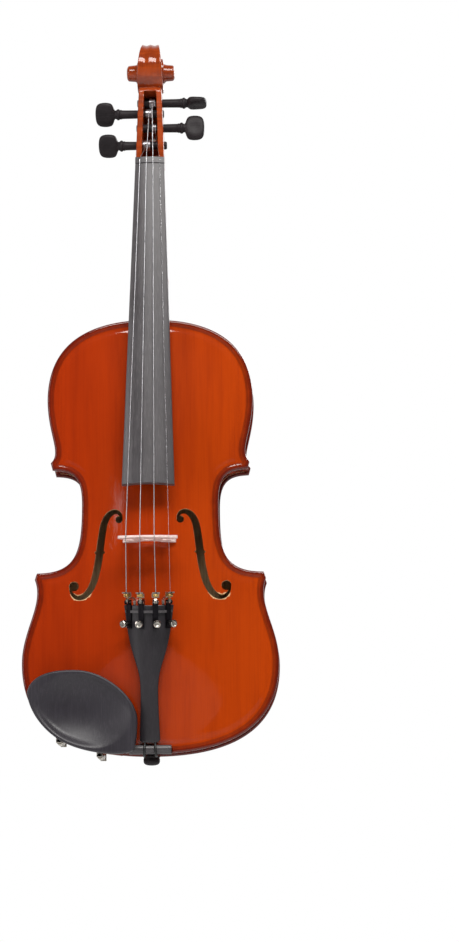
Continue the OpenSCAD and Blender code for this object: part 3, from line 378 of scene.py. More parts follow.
def cork_material():
    material, tree, shader = new_material("cork")
    cells = node(tree, "ShaderNodeTexVoronoi", {
        "Vector": node(tree, "ShaderNodeTexCoord").outputs["Object"], "Scale": 1400.0})
    fleck = spread(tree, stretched_noise(tree, (900, 900, 900), 4.0), 0.5, 0.7)
    colour = mixed(tree, cells.outputs["Distance"], rgb(190, 150, 105), rgb(150, 108, 68))
    colour = mixed(tree, maths(tree, "MULTIPLY", fleck, 0.6), colour, rgb(92, 60, 36))
    tree.links.new(colour, shader.inputs["Base Color"])
    shader.inputs["Roughness"].default_value = 0.85
    bump(tree, shader, cells.outputs["Distance"], 0.0001, 0.6)
    return material


# Edge colour: sunburst varnish with painted shade at the rim; then the purfling line's colour
EDGE_RED = rgb(88, 16, 5)
LINE_DARK = rgb(48, 12, 5)
M = {
    # The belly's last colour is a painted highlight for the sound holes' lower edges
    "belly_varnish": varnish("belly_varnish", rgb(166, 47, 2), rgb(182, 62, 2), rgb(126, 30, 2),
                             0.0, EDGE_RED, LINE_DARK, 0.34, 0.05, rgb(226, 186, 138)),
    "maple_varnish": varnish("maple_varnish", rgb(152, 48, 8), rgb(166, 56, 8), rgb(84, 20, 4),
                             0.62, EDGE_RED, LINE_DARK, 0.22),
    "neck_varnish": varnish("neck_varnish", rgb(152, 58, 18), rgb(166, 68, 22), rgb(80, 20, 5),
                            0.40, None, None, 0.22, 0.10),
    "bare_spruce": bare_wood("bare_spruce", rgb(226, 200, 158), rgb(178, 136, 88)),
    "bare_willow": bare_wood("bare_willow", rgb(216, 188, 146), rgb(170, 130, 88)),
    "bridge_maple": bare_wood("bridge_maple", rgb(248, 228, 222), rgb(214, 178, 168),
                              (300, 1400, 1400), 0.5),
    "ebony": black_wood("ebony", rgb(66, 63, 65), 0.33),
    "black_pegs": black_wood("black_pegs", rgb(32, 28, 30), 0.5, (60, 1100, 1100), 0.18),
    "black_tailpiece": black_wood("black_tailpiece", rgb(34, 31, 35), 0.38),
    "black_steel": metal("black_steel", rgb(44, 42, 46), 0.42, (500, 500, 500)),
    "black_nylon": black_wood("black_nylon", rgb(20, 20, 21), 0.45, (500, 500, 500)),
    "black_chinrest": black_wood("black_chinrest", rgb(38, 35, 41), 0.40),
    "nickel": metal("nickel", rgb(214, 208, 198), 0.20),
    "brass_ball": metal("brass_ball", rgb(212, 176, 110), 0.28),
    "wound_string": metal("wound_string", rgb(200, 200, 204), 0.30, (300, 300, 2600), 0.00004),
    "plain_steel": metal("plain_steel", rgb(216, 216, 220), 0.22, (900, 900, 60)),
    "cork": cork_material(),
}

# ---- Making pieces ----------------------------------------------------------------------------


def as_mesh(name, points, faces, sharp=35.0, weld=1e-7):
    """A mesh from points in metres with outward normals."""
    bm = bmesh.new()
    verts = [bm.verts.new(p) for p in points]
    for f in faces:
        if len(set(f)) >= 3:
            try:
                bm.faces.new([verts[i] for i in f])
            except ValueError:
                pass
    bmesh.ops.remove_doubles(bm, verts=bm.verts, dist=weld)
    bmesh.ops.recalc_face_normals(bm, faces=bm.faces)
    mesh = bpy.data.meshes.new(name)
    bm.to_mesh(mesh)
    bm.free()
    mesh.shade_smooth()
    mesh.set_sharp_from_angle(angle=math.radians(sharp))
    return mesh


def placed(name, data):
    """A new object in the scene."""
    made = bpy.data.objects.new(name, data)
    bpy.context.scene.collection.objects.link(made)
    return made


def evaluated(made):
    """The object's mesh with its modifiers or its curve settings applied."""
    graph = bpy.context.evaluated_depsgraph_get()
    return bpy.data.meshes.new_from_object(made.evaluated_get(graph), depsgraph=graph)


def applied(made):
    mesh = evaluated(made)
    made.modifiers.clear()
    made.data = mesh


def dressed(made, slot):
    made.data.materials.clear()
    made.data.materials.append(M[slot])


def cut_away(made, form, solver, slot, angle):
    """Cuts a form out of a piece, and gives the piece its material and sharp edges back."""
    cutter = placed("cutter", form.mesh("cutter"))
    cut = made.modifiers.new("cut", "BOOLEAN")
    cut.operation = "DIFFERENCE"
    cut.solver = solver
    cut.object = cutter
    applied(made)
    bpy.data.objects.remove(cutter)
    dressed(made, slot)
    made.data.shade_smooth()
    made.data.set_sharp_from_angle(angle=math.radians(angle))


def point_values(mesh, name, values):
    attribute = mesh.attributes.new(name, "FLOAT", "POINT")
    attribute.data.foreach_set("value", np.asarray(values, np.float32))


def add_piece(name, mesh, slot, body="violin", stands_for=()):
    made = placed(name, mesh)
    if not mesh.materials:
        mesh.materials.append(M[slot])
    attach(made, body)
    if stands_for:
        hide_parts(*stands_for)
    return made


class Shape:
    """Gathers points and faces of several closed parts."""

    def __init__(self):
        self.points, self.faces = [], []

    def add(self, points, faces):
        base = len(self.points)
        self.points += [tuple(p) for p in points]
        self.faces += [[base + i for i in f] for f in faces]

    def loft(self, rings, closed=False):
        """Skins a list of rings that all have the same number of points."""
        n, m = len(rings[0]), len(rings)
        points = [p for ring in rings for p in ring]
        faces = []
        for j in range(m if closed else m - 1):
            k = (j + 1) % m
            faces += [[j * n + i, j * n + (i + 1) % n, k * n + (i + 1) % n, k * n + i]
                      for i in range(n)]
        if not closed:
            faces += [list(range(n))[::-1], [(m - 1) * n + i for i in range(n)]]
        self.add(points, faces)

    def turned(self, profile, centre, axis, across, n=40):
        """A lathe form: profile is (distance along the axis, radius)."""
        axis = np.array(axis, float) / np.linalg.norm(axis)
        u = np.array(across, float)
        u = u - (u @ axis) * axis
        u /= np.linalg.norm(u)
        v = np.cross(axis, u)
        angles = around(n)
        rings = [[np.array(centre) + t * axis + max(r, 1e-4) * (math.cos(a) * u + math.sin(a) * v)
                  for a in angles] for t, r in profile]
        self.loft(rings)

    def tube(self, path, radius, n=12, closed=False):
        path = [np.array(p, float) for p in path]
        m = len(path)
        if closed:
            tangents = [path[(i + 1) % m] - path[i - 1] for i in range(m)]
        else:
            tangents = [path[min(i + 1, m - 1)] - path[max(i - 1, 0)] for i in range(m)]
        tangents = [t / np.linalg.norm(t) for t in tangents]
        start = np.array([1.0, 0, 0]) if abs(tangents[0][0]) < 0.8 else np.array([0, 0, 1.0])
        u = start - (start @ tangents[0]) * tangents[0]
        rings = []
        for p, t in zip(path, tangents):
            u = u - (u @ t) * t
            u /= np.linalg.norm(u)
            v = np.cross(t, u)
            rings.append([p + radius * (math.cos(a) * u + math.sin(a) * v)
                          for a in around(n)])
        self.loft(rings, closed)

    def mesh(self, name, sharp=35.0, place=row):
        return as_mesh(name, place(np.array(self.points)), self.faces, sharp)


def bevelled(made, width, angle=30.0):
    bevel = made.modifiers.new("soft_edges", "BEVEL")
    bevel.width = width * MM
    bevel.segments = 2
    bevel.limit_method = "ANGLE"
    bevel.angle_limit = math.radians(angle)
    bevel.harden_normals = True


def triangulated(loops, points):
    """Constrained triangulation of loops and loose points: coordinates and triangles."""
    verts, edges = [], []
    for loop in loops:
        base, n = len(verts), len(loop)
        verts += [Vector(p) for p in loop]
        edges += [(base + i, base + (i + 1) % n) for i in range(n)]
    verts += [Vector(p) for p in points]
    out = delaunay_2d_cdt(verts, edges, [], 0, 1e-6)
    return np.array([tuple(v) for v in out[0]]), np.array([list(f) for f in out[2]])


def field_of_points(loop, rings, spacing, keep_off, gap=0.8):
    """Rings of points inside a loop and a grid of points in its middle, clear of other loops."""
    found = []
    for d in rings:
        ring = offset_loop(loop, d)
        found.append(ring[(distance_to(ring, loop) > d - 0.03) & inside(ring, loop)])
    low, high = loop.min(0), loop.max(0)
    xs = np.arange(low[0], high[0], spacing)
    ys = np.arange(low[1], high[1], spacing * 0.866)
    grid = np.array([(x + (j % 2) * spacing / 2, y) for j, y in enumerate(ys) for x in xs])
    grid = grid[inside(grid, loop)]
    grid = grid[distance_to(grid, loop) > rings[-1] + spacing * 0.55]
    found.append(grid)
    points = np.concatenate(found)
    for other in keep_off:
        points = points[(distance_to(points, other) > gap) & ~inside(points, other)]
    return points


def facing_up(flat, triangles):
    """The triangles turned to face up, and the directed sides that make their rim."""
    a, b, c = (flat[triangles[:, k]] for k in range(3))
    area = (b[:, 0] - a[:, 0]) * (c[:, 1] - a[:, 1]) - (c[:, 0] - a[:, 0]) * (b[:, 1] - a[:, 1])
    triangles[area < 0] = triangles[area < 0][:, ::-1]
    triangles = triangles.tolist()
    sides = {(t[k], t[(k + 1) % 3]): True for t in triangles for k in range(3)}
    return triangles, [(p, q) for p, q in sides if (q, p) not in sides]


def two_faced(triangles, rim, n):
    """Faces of a sheet whose under side has the same n points again, with walls round its rim."""
    return (triangles + [[n + k for k in t[::-1]] for t in triangles]
            + [[q, p, n + p, n + q] for p, q in rim])


# A painted highlight lightens the sound holes' lower curls along their edges, below this height
HIGHLIGHT_Y = 133.0


def carved_plate(name, loop, holes, edge_loop, outer, inner, slot, node_name, inner_slot):
    """A plate with an outer and an inner face; holes are loops that may overlap each other."""
    rings = (0.2, 0.5, 0.9, 1.4, 2.0, 2.8, 3.7, 4.7, 5.8, 7.2, 9.0, 11.0)
    points = field_of_points(edge_loop, rings, 2.3, holes)
    points = points[inside(points, loop)]
    points = points[distance_to(points, loop) > 0.15]
    flat, triangles = triangulated([loop] + holes, points)
    middle = flat[triangles].mean(1)
    keep = inside(middle, loop)
    for hole in holes:
        keep &= ~inside(middle, hole)
    triangles = triangles[keep]
    d = distance_to(flat, edge_loop)
    top, bottom = outer(flat[:, 0], flat[:, 1], d), inner(flat[:, 0], flat[:, 1], d)
    n = len(flat)
    upper = np.column_stack([flat, top])
    lower = np.column_stack([flat, bottom])
    triangles, rim = facing_up(flat, triangles)
    bare_wall = [min(distance_to((flat[[i]] + flat[[j]]) / 2, edge_loop)) > 0.6 for i, j in rim]
    mesh = bpy.data.meshes.new(name)
    mesh.from_pydata([tuple(p) for p in row(np.concatenate([upper, lower]))], [],
                     two_faced(triangles, rim, n))
    point_values(mesh, "edge_d", np.concatenate([d, d]))
    # Painted highlight along the sound holes' edges, strongest low down and fading out upwards
    worn = np.zeros(n)
    for hole in holes:
        close = distance_to(flat, hole) < 0.02
        worn[close] = ease((HIGHLIGHT_Y - flat[close, 1]) / 6)
    point_values(mesh, "worn", np.concatenate([worn, worn]))
    mesh.materials.append(M[slot])
    mesh.materials.append(M[inner_slot])
    index = np.zeros(len(mesh.polygons), np.int32)
    index[len(triangles):2 * len(triangles)] = 1
    index[2 * len(triangles):] = bare_wall
    outside = distance_to(middle[keep], edge_loop) < OVERHANG
    index[len(triangles):2 * len(triangles)][outside] = 0
    mesh.polygons.foreach_set("material_index", index)
    mesh.update()
    used = bmesh.new()
    used.from_mesh(mesh)
    bmesh.ops.delete(used, geom=[v for v in used.verts if not v.link_faces], context="VERTS")
    used.to_mesh(mesh)
    used.free()
    mesh.shade_smooth()
    mesh.set_sharp_from_angle(angle=math.radians(40))
    add_piece(name, mesh, slot, stands_for=(node_name,))


def rounding(d, r):
    """How far a rounded edge of radius r drops at distance d from the edge."""
    t = np.clip(d, 0, r)
    return r - np.sqrt(np.maximum(r * r - (r - t) ** 2, 0))


def channel(d):
    """The shallow groove that runs inside a plate's raised edge."""
    return 0.7 * np.exp(-(((d - 6.3) / 2.7) ** 2)) * ease((d - 1.5) / 3)


# ---- Belly and back ---------------------------------------------------------------------------

# The belly is cut back round the saddle and the neck's root
SADDLE_W, SADDLE_D, ROOT_W, ROOT_D = 34.0, 7.0, 32.0, 9.0
at_saddle = half[(half[:, 1] < 20) & (half[:, 0] > SADDLE_W / 2)][0]
at_root = half[(half[:, 1] > 300) & (half[:, 0] > ROOT_W / 2)][-1]
middle_part = half[(half[:, 0] > SADDLE_W / 2) | (half[:, 1] > 200)]
middle_part = middle_part[(middle_part[:, 0] > ROOT_W / 2) | (middle_part[:, 1] < 200)]
belly_half = np.concatenate([
    [(0, SADDLE_D), (SADDLE_W / 2, SADDLE_D), (SADDLE_W / 2, at_saddle[1] - 0.02)], middle_part,
    [(ROOT_W / 2, at_root[1] + 0.02), (ROOT_W / 2, BODY_L - ROOT_D), (0, BODY_L - ROOT_D)]])
belly_loop = np.concatenate([belly_half, mirrored(belly_half)[-2:0:-1]])

f_path = chain(bezier((22.6, 190.6), (24, 198.2), (35, 199.5), (38, 183), 30),
               bezier((38, 183), (40.6, 168), (40.8, 157), (43.6, 146), 18),
               bezier((43.6, 146), (48, 123.5), (62, 121.5), (65, 134), 30))
f_t = np.linspace(0, 1, len(f_path))
f_width = 1.4 + (6.2 - 1.4) * np.sin(np.pi * f_t) ** 0.8
f_along = np.gradient(f_path, axis=0)
f_along /= np.linalg.norm(f_along, axis=1)[:, None]
f_side = np.stack([-f_along[:, 1], f_along[:, 0]], 1)
stem = np.concatenate([f_path + f_side * f_width[:, None] / 2,
                       (f_path - f_side * f_width[:, None] / 2)[::-1]])


def circle_loop(centre, r, n):
    a = around(n) + 0.1
    return np.stack([centre[0] + r * np.cos(a), centre[1] + r * np.sin(a)], 1)


f_right = [stem, circle_loop((24.8, 189.4), 3.0, 30), circle_loop((61.8, 135.8), 4.0, 36)]
for side in (-1, 1):
    x = 40.7 + side * 3.3
    f_right.append(np.array([(x - 1.3, 163), (x, 161.7), (x + 1.3, 163), (x, 164.3)]))
f_holes = f_right + [mirrored(loop) for loop in f_right]


def belly_outer(x, y, d):
    return arched(x, y, BELLY_ARCH) - channel(d) - rounding(d, 1.9)


def belly_inner(x, y, d):
    z = (arched(x, y, BELLY_ARCH) - EDGE_T) * (BELLY_ARCH - PLATE_T) / (BELLY_ARCH - EDGE_T)
    return z + rounding(d, 1.5)


carved_plate("belly", belly_loop, f_holes, outline, belly_outer, belly_inner, "belly_varnish",
             "top_plate", "bare_spruce")

# The half-round tab of the back that covers the heel
TAB_R, TAB_Y = 10.5, 356.5
arc = np.array([(TAB_R * math.cos(a), TAB_Y + TAB_R * math.sin(a))
                for a in np.linspace(0, math.pi / 2, 16)])
back_half = np.concatenate([half[(half[:, 0] > TAB_R + 0.4) | (half[:, 1] < 200)], arc])
back_loop = np.concatenate([back_half, mirrored(back_half)[-2:0:-1]])


def back_outer(x, y, d):
    return -RIB_H - (arched(x, y, BACK_ARCH) - channel(d) - rounding(d, 1.9))


def back_inner(x, y, d):
    z = (arched(x, y, BACK_ARCH) - EDGE_T) * (BACK_ARCH - PLATE_T) / (BACK_ARCH - EDGE_T)
    return -RIB_H - (z + rounding(d, 1.5))


carved_plate("back", back_loop, [], back_loop, back_outer, back_inner, "maple_varnish",
             "back_plate", "bare_willow")

# ---- Ribs -------------------------------------------------------------------------------------

rib_curves = {"lower_rib": chain(lower_end, lower_flank), "middle_rib": chain(waist_low, waist_high),
              "upper_rib": chain(upper_flank, upper_end)}
for rib, curve in rib_curves.items():
    for side, name in ((1, "treble"), (-1, "bass")):
        outer, inner = offset(curve, OVERHANG), offset(curve, OVERHANG + RIB_T)
        outer[:, 0] *= side
        inner[:, 0] *= side
        shape = Shape()
        shape.loft([[(o[0], o[1], -0.02), (o[0], o[1], -RIB_H + 0.02), (i[0], i[1], -RIB_H + 0.02),
                     (i[0], i[1], -0.02)] for o, i in zip(outer, inner)])
        made = add_piece(f"{rib}_{name}_wood", shape.mesh(rib), "maple_varnish",
                         stands_for=(f"{rib}_{name}",))
        point_values(made.data, "edge_d", np.full(len(made.data.vertices), 9.0))
        bevelled(made, 0.15)

# ---- Neck, pegbox and scroll ------------------------------------------------------------------


def neck_place(points):
    """From the neck's frame (x, along, up) to the maker's frame."""
    p = np.asarray(points, float)
    s, h = p[..., 1], p[..., 2]
    return np.stack([p[..., 0],
                     BODY_L + s * math.cos(NECK_TILT) + h * math.sin(NECK_TILT),
                     NECK_RISE - s * math.sin(NECK_TILT) + h * math.cos(NECK_TILT)], -1)


# The scroll's eye, along and up, and its spiral's radii; below, its half width at each angle
EYE = (216.5, -5.0)
SCROLL_R, EYE_R, EYE_HALF = 29.5, 6.5, 20.0
SCROLL_W = ((0, 8.0), (60, 6.9), (95, 6.8), (120, 7.5), (150, 8.9), (180, 10.1), (225, 10.8),
            (270, 10.8), (360, 10.2), (450, 9.9), (540, 11.6), (630, 12.0), (720, 12.8))


def scroll_radius(a):
    return SCROLL_R * ((EYE_R + 1) / SCROLL_R) ** (a / 720.0)


def scroll_half(a):
    return float(np.interp(a, *zip(*SCROLL_W)))


def fluting(u):
    """Two hollows either side of a middle ridge, for u from -1 to 1 across."""
    return 0.9 * np.sin(np.pi * u) ** 2


scroll = Shape()
for turn in (0, 1):
    rings = []
    inner_f = scroll_radius(360.0) / SCROLL_R
    fractions = (0.0, 0.2, inner_f - 0.06, inner_f + 0.05, inner_f + 0.2, inner_f + 0.34, 0.92,
                 0.975, 1.0)
    for a in np.linspace(360 * turn, 360 * turn + 360, 91):
        r, w = scroll_radius(a), scroll_half(a)
        dips = (2.2, 2.2, 2.2, 2.2, 1.9, 1.2, 0.35, 0.0, 0.45)
        base = scroll_half(360 * turn + 180)
        side = [(f * r, (base if f < inner_f else w) - dip) for f, dip in zip(fractions, dips)]
        rim = [(r - (fluting(u) if turn == 0 else 0.0), w * u * 0.96)
               for u in np.linspace(-0.94, 0.94, 15)]
        section = ([(q, -x) for q, x in side] + [(q, x) for q, x in rim]
                   + [(q, x) for q, x in side[::-1]])
        turned = math.radians(a)
        rings.append([(x, EYE[0] + q * math.sin(turned), EYE[1] - q * math.cos(turned))
                      for q, x in section])
    scroll.loft(rings, closed=True)
profile = [(-EYE_HALF, 0.01), (-EYE_HALF, 4.2), (-EYE_HALF + 0.5, 5.4), (-EYE_HALF + 1.4, EYE_R),
           (-13.0, EYE_R + 0.5), (-11.0, EYE_R + 1.2), (0, 8.0), (11.0, EYE_R + 1.2),
           (13.0, EYE_R + 0.5), (EYE_HALF - 1.4, EYE_R), (EYE_HALF - 0.5, 5.4), (EYE_HALF, 4.2),
           (EYE_HALF, 0.01)]
scroll.turned(profile, (0, EYE[0], EYE[1]), (1, 0, 0), (0, 0, 1), 48)

# The pegbox is a tapering trough, lofted from its chin to the throat
NUT_Y = NECK_L + NUT_L
back_line = chain(bezier((NUT_Y - 6, -12), (NUT_Y + 3, -17.5), (NUT_Y + 12, -21), (NUT_Y + 26, -21), 30),
                  bezier((NUT_Y + 26, -21), (EYE[0] - 32, -21), (EYE[0] - 22, EYE[1] - SCROLL_R),
                         (EYE[0], EYE[1] - SCROLL_R), 40))
# Half width and front face of the pegbox along the neck, and the cavity's start, end, floor and wall
PEGBOX_W = ((131.5, 11.9), (136.5, 11.9), (165, 10.9), (196, 9.6), (207, 8.6), (225, 7.4))
PEGBOX_FRONT = ((131, 0), (136, 2.2), (147, 4), (180, 5.4), (198, 6), (203, 1), (209, -8), (216, -12))
CAVITY = (139.5, 196.3, -15.5, 5.0)


def trough(s, cut):
    """Section of the pegbox at s; its cavity is as deep as cut says, from 0 to 1."""
    w = float(np.interp(s, *zip(*PEGBOX_W)))
    bottom = float(np.interp(s, back_line[:, 0], back_line[:, 1]))
    front = float(np.interp(s, *zip(*PEGBOX_FRONT)))
    floor = front - 0.01 - cut * max(front - max(CAVITY[2], bottom + 3.5), 0)
    wall = w - CAVITY[3] * float(np.interp(s, (140, 196), (1.0, 0.92)))
    outside = [(-w + 1.0, s, front), (-w + 0.25, s, front - 0.35), (-w, s, front - 1.2),
               (-w, s, (front + bottom) / 2), (-w, s, bottom + 2.0), (-w + 0.3, s, bottom + 0.7)]
    under = [(u * (w - 0.6), s, bottom + fluting(u) * 0.8) for u in np.linspace(-0.98, 0.98, 13)]
    other = [(-x, y, z) for x, y, z in outside[::-1]]
    hollow = [(wall, s, front), (wall, s, (front + floor) / 2), (wall - 0.4, s, floor + 0.4),
              (wall * 0.5, s, floor), (-wall * 0.5, s, floor), (-wall + 0.4, s, floor + 0.4),
              (-wall, s, (front + floor) / 2), (-wall, s, front)]
    return outside + under + other + hollow


stations = [(131.5, 0), (134, 0), (136, 0), (CAVITY[0] - 0.4, 0), (CAVITY[0], 0.9), (140.5, 1)]
stations += [(s, 1) for s in np.arange(143, 192, 3.0)]
stations += [(193, 1), (CAVITY[1] - 0.5, 0.95), (CAVITY[1] + 0.4, 0.0), (199, 0), (201, 0),
             (204, 0), (208, 0), (212, 0), (216, 0)]
scroll.loft([trough(s, cut) for s, cut in stations])

# The handle's rounded section under the fingerboard
rings = []
for s in np.concatenate([np.arange(-8.6, 128, 4.5), [130, 133, 136, 138.5]]):
    w = NUT_W / 2 - 0.15 + (NECK_L - s) * 0.0285
    deep = float(np.interp(s, (-9, 20, 60, 128, 139), (14.6, 13.9, 13.3, 12.2, 12.4)))
    arc_points = [(-w * math.copysign(abs(math.cos(p)) ** 0.86, math.cos(p)), s,
                   -0.02 - deep * math.sin(p) ** 0.92) for p in np.linspace(0, math.pi, 31)]
    rings.append(arc_points + [(w * 0.5, s, -0.02), (0, s, -0.02), (-w * 0.5, s, -0.02)])
scroll.loft(rings)
neck_points = [tuple(p) for p in neck_place(np.array(scroll.points))]

# The heel runs from the handle down to the back's button
heel = Shape()
# Share of the heel's height, how far it reaches along, and its half width there
levels = ((0.0, 366.3, 10.4), (0.03, 366.8, 10.5), (0.15, 367.2, 10.7), (0.35, 368.2, 11.4),
          (0.52, 370.6, 12.4), (0.64, 374.5, 13.6), (0.73, 380.5, 14.7), (0.80, 388.5, 15.2),
          (0.86, 397.0, 15.5), (0.93, 403.0, 15.7), (1.0, 404.0, 15.8))
rings = []
for f, reach, w in levels:
    root = BODY_L - ROOT_D + 0.1
    if f > 0.8:
        w = NUT_W / 2 - 0.2 + (NECK_L) * 0.0285
    turn_y = max(reach - 1.05 * w, root + 1)
    ring = [(-w, root), (-w, (root + turn_y) / 2)]
    ring += [(-w * math.cos(p), turn_y + (reach - turn_y) * math.sin(p) ** 0.9)
             for p in np.linspace(0, math.pi, 29)]
    ring += [(w, (root + turn_y) / 2), (w, root), (0, root)]
    level = []
    for x, y in ring:
        high = NECK_RISE - 0.05 - (y - BODY_L) * math.tan(NECK_TILT)
        level.append((x, y, -RIB_H + 0.02 + f * (high + RIB_H)))
    rings.append(level)
heel.loft(rings)
base = len(neck_points)
neck_shape = Shape()
neck_shape.points = neck_points + heel.points
neck_shape.faces = scroll.faces + [[base + i for i in f] for f in heel.faces]
made = add_piece("neck_and_scroll", neck_shape.mesh("neck"), "neck_varnish", stands_for=("neck",))
# The pegs' places along the neck, their height in it, and their shafts' radius
PEG_S, PEG_H, PEG_R = (153.1, 181.1, 190.6, 168.4), -8.0, 3.5
remesh = made.modifiers.new("carved", "REMESH")
remesh.mode = "VOXEL"
remesh.voxel_size = 0.42 * MM
applied(made)
smooth = made.modifiers.new("scraped", "SMOOTH")
smooth.factor = 0.5
smooth.iterations = 5
applied(made)
bores = Shape()
for s in PEG_S:
    centre = neck_place([0, s, PEG_H])
    bores.turned([(-25, PEG_R + 0.15), (25, PEG_R + 0.15)], centre, (1, 0, 0), (0, 0, 1), 32)
cut_away(made, bores, "MANIFOLD", "neck_varnish", 50)

# ---- Fingerboard ------------------------------------------------------------------------------


def sag(w):
    return BOARD_R - math.sqrt(BOARD_R**2 - w * w / 4)


CROWN_NUT, CROWN_END = BOARD_T + sag(NUT_W), BOARD_T + sag(BOARD_W)


def board_crown(s):
    return CROWN_NUT + (NECK_L - s) * (CROWN_END - CROWN_NUT) / BOARD_L


rings = []
for s in np.concatenate([[NECK_L - BOARD_L, NECK_L - BOARD_L + 0.3], np.linspace(
        NECK_L - BOARD_L + 1.5, NECK_L - 1, 60), [NECK_L]]):
    w = NUT_W / 2 + (NECK_L - s) * (BOARD_W - NUT_W) / 2 / BOARD_L
    crown = board_crown(s)
    soft = 0.25 if s < NECK_L - BOARD_L + 0.2 else 0.0
    top = [(x, s, crown - soft - BOARD_R + math.sqrt(BOARD_R**2 - x * x))
           for x in np.linspace(-w + 0.5, w - 0.5, 33)]
    edge = top[-1][2]
    sides = [(w - 0.18, s, edge - 0.22), (w, s, edge - 0.7), (w, s, 0.5), (w - 0.2, s, 0.12)]
    reach = float(ease((-12 - s) / 10))
    under = [(x, s, 0.05 + reach * max(0.0, 5 - 34 + math.sqrt(34**2 - x * x)))
             for x in np.linspace(w - 1.5, -w + 1.5, 25)]
    rings.append(top + sides + under + [(-x, y, z) for x, y, z in sides[::-1]])
board = Shape()
board.loft(rings)
add_piece("fingerboard_wood", board.mesh("fingerboard", 30, lambda p: row(neck_place(p))), "ebony",
          stands_for=("fingerboard",))

# ---- Bridge -----------------------------------------------------------------------------------


def bridge_z(x):
    return BRIDGE_TOP - BRIDGE_ARC + math.sqrt(BRIDGE_ARC**2 - x * x) - 0.6 * x / BRIDGE_SPREAD


foot = belly_z(15.5, BRIDGE_Y)
crown = np.array([(x, bridge_z(x) - foot) for x in np.linspace(0, 22.9, 26)])
corner = crown[-1]
side_line = chain(
    crown,
    bezier(corner, corner + (0.7, -0.4), (24.0, 24.6), (24.0, 23.6), 5),
    bezier((24.0, 23.6), (24.0, 21.6), (22.2, 19.6), (19.6, 18.7), 8),
    bezier((19.6, 18.7), (17.6, 17.9), (16.6, 19.4), (14.2, 19.2), 8),
    bezier((14.2, 19.2), (11.4, 18.9), (10.6, 16.6), (11.0, 14.6), 8),
    bezier((11.0, 14.6), (11.6, 12.3), (14.2, 12.2), (15.6, 13.4), 8),
    bezier((15.6, 13.4), (17.0, 14.6), (19.8, 14.6), (20.0, 12.4), 8),
    bezier((20.0, 12.4), (20.1, 10.4), (17.0, 9.4), (16.6, 7.4), 8),
    bezier((16.6, 7.4), (16.4, 5.4), (17.6, 4.4), (19.2, 3.7), 8),
    bezier((19.2, 3.7), (20.6, 3.2), (21.5, 2.8), (21.5, 1.6), 5),
    np.array([(21.5, 1.6), (21.5, 0.0), (18.0, 0.0), (14.0, 0.0), (9.6, 0.0)]),
    bezier((9.6, 0.0), (9.1, 1.4), (9.6, 2.6), (8.9, 3.6), 6),
    bezier((8.9, 3.6), (7.0, 6.6), (3.6, 7.9), (0.0, 7.9), 12))
bridge_loop = np.concatenate([side_line, mirrored(side_line)[-2:0:-1]])
heart_half = chain(
    bezier((0, 12.2), (0.7, 12.6), (0.9, 14.2), (1.7, 15.0), 6),
    bezier((1.7, 15.0), (2.6, 15.6), (4.6, 15.8), (4.7, 18.4), 7),
    bezier((4.7, 18.4), (4.7, 20.8), (1.6, 21.4), (0, 19.6), 8))
heart = np.concatenate([heart_half, mirrored(heart_half)[-2:0:-1]])


def filled_curve(name, loops, depth, bevel):
    """A flat form with holes, extruded both ways by depth, with a rounded edge."""
    data = bpy.data.curves.new(name, "CURVE")
    data.dimensions = "2D"
    data.fill_mode = "BOTH"
    data.extrude = depth - bevel
    data.bevel_depth = bevel
    data.bevel_resolution = 2
    data.offset = -bevel
    for loop in loops:
        spline = data.splines.new("POLY")
        spline.points.add(len(loop) - 1)
        for point, p in zip(spline.points, loop):
            point.co = (p[0], p[1], 0, 1)
        spline.use_cyclic_u = True
    made = placed(name, data)
    mesh = evaluated(made)
    bpy.data.objects.remove(made)
    return mesh


flat_bridge = filled_curve("bridge", [bridge_loop, heart], 0.5, 0.12)
points = np.array([tuple(v.co) for v in flat_bridge.vertices])
high = BRIDGE_TOP - foot
thick = np.interp(points[:, 1], (0, 4, high), (4.4, 4.3, 1.5))
moved = []
for (x, h, w), t in zip(points, thick):
    y = BRIDGE_Y + (w + 0.5) * t
    drop = max(0.0, 1 - h / 4.5)
    moved.append((x, y, foot + h + (belly_z(x, y) - foot) * drop))
bridge_mesh = as_mesh("bridge", row(np.array(moved)), [list(p.vertices) for p in flat_bridge.polygons],
                      40, 1e-6)
add_piece("bridge_wood", bridge_mesh, "bridge_maple", stands_for=("bridge",))

# ---- Strings ----------------------------------------------------------------------------------

TAIL_Y, TAIL_Z, TAIL_L = 8.6, 10.5, 110.0
TAIL_TILT = math.asin(19.5 / TAIL_L)
TAIL_R_LOW, TAIL_R_HIGH = 14.0, 27.0
TUNER_Y = 95.5
TUNER_R = TAIL_R_LOW + (TAIL_R_HIGH - TAIL_R_LOW) * TUNER_Y / TAIL_L
TUNER_ANGLE = tuple(math.radians(a) for a in (-37, -12.5, 12.5, 37))


def tail_place(points):
    """From the tailpiece's frame to the maker's frame."""
    p = np.asarray(points, float)
    return np.stack([p[..., 0],
                     TAIL_Y + p[..., 1] * math.cos(TAIL_TILT) - p[..., 2] * math.sin(TAIL_TILT),
                     TAIL_Z + p[..., 1] * math.sin(TAIL_TILT) + p[..., 2] * math.cos(TAIL_TILT)], -1)


def tuner_place(i, points):
    """From one fine tuner's frame, z out of the tailpiece, to the maker's frame."""
    p = np.asarray(points, float)
    c, s = math.cos(TUNER_ANGLE[i]), math.sin(TUNER_ANGLE[i])
    out = p[..., 2] + TUNER_R
    return tail_place(np.stack([p[..., 0] * c + out * s, p[..., 1] + TUNER_Y,
                                out * c - p[..., 0] * s - TUNER_R], -1))


def nut_height(x):
    return board_crown(NUT_Y) - BOARD_R + math.sqrt(BOARD_R**2 - x * x) + 0.6


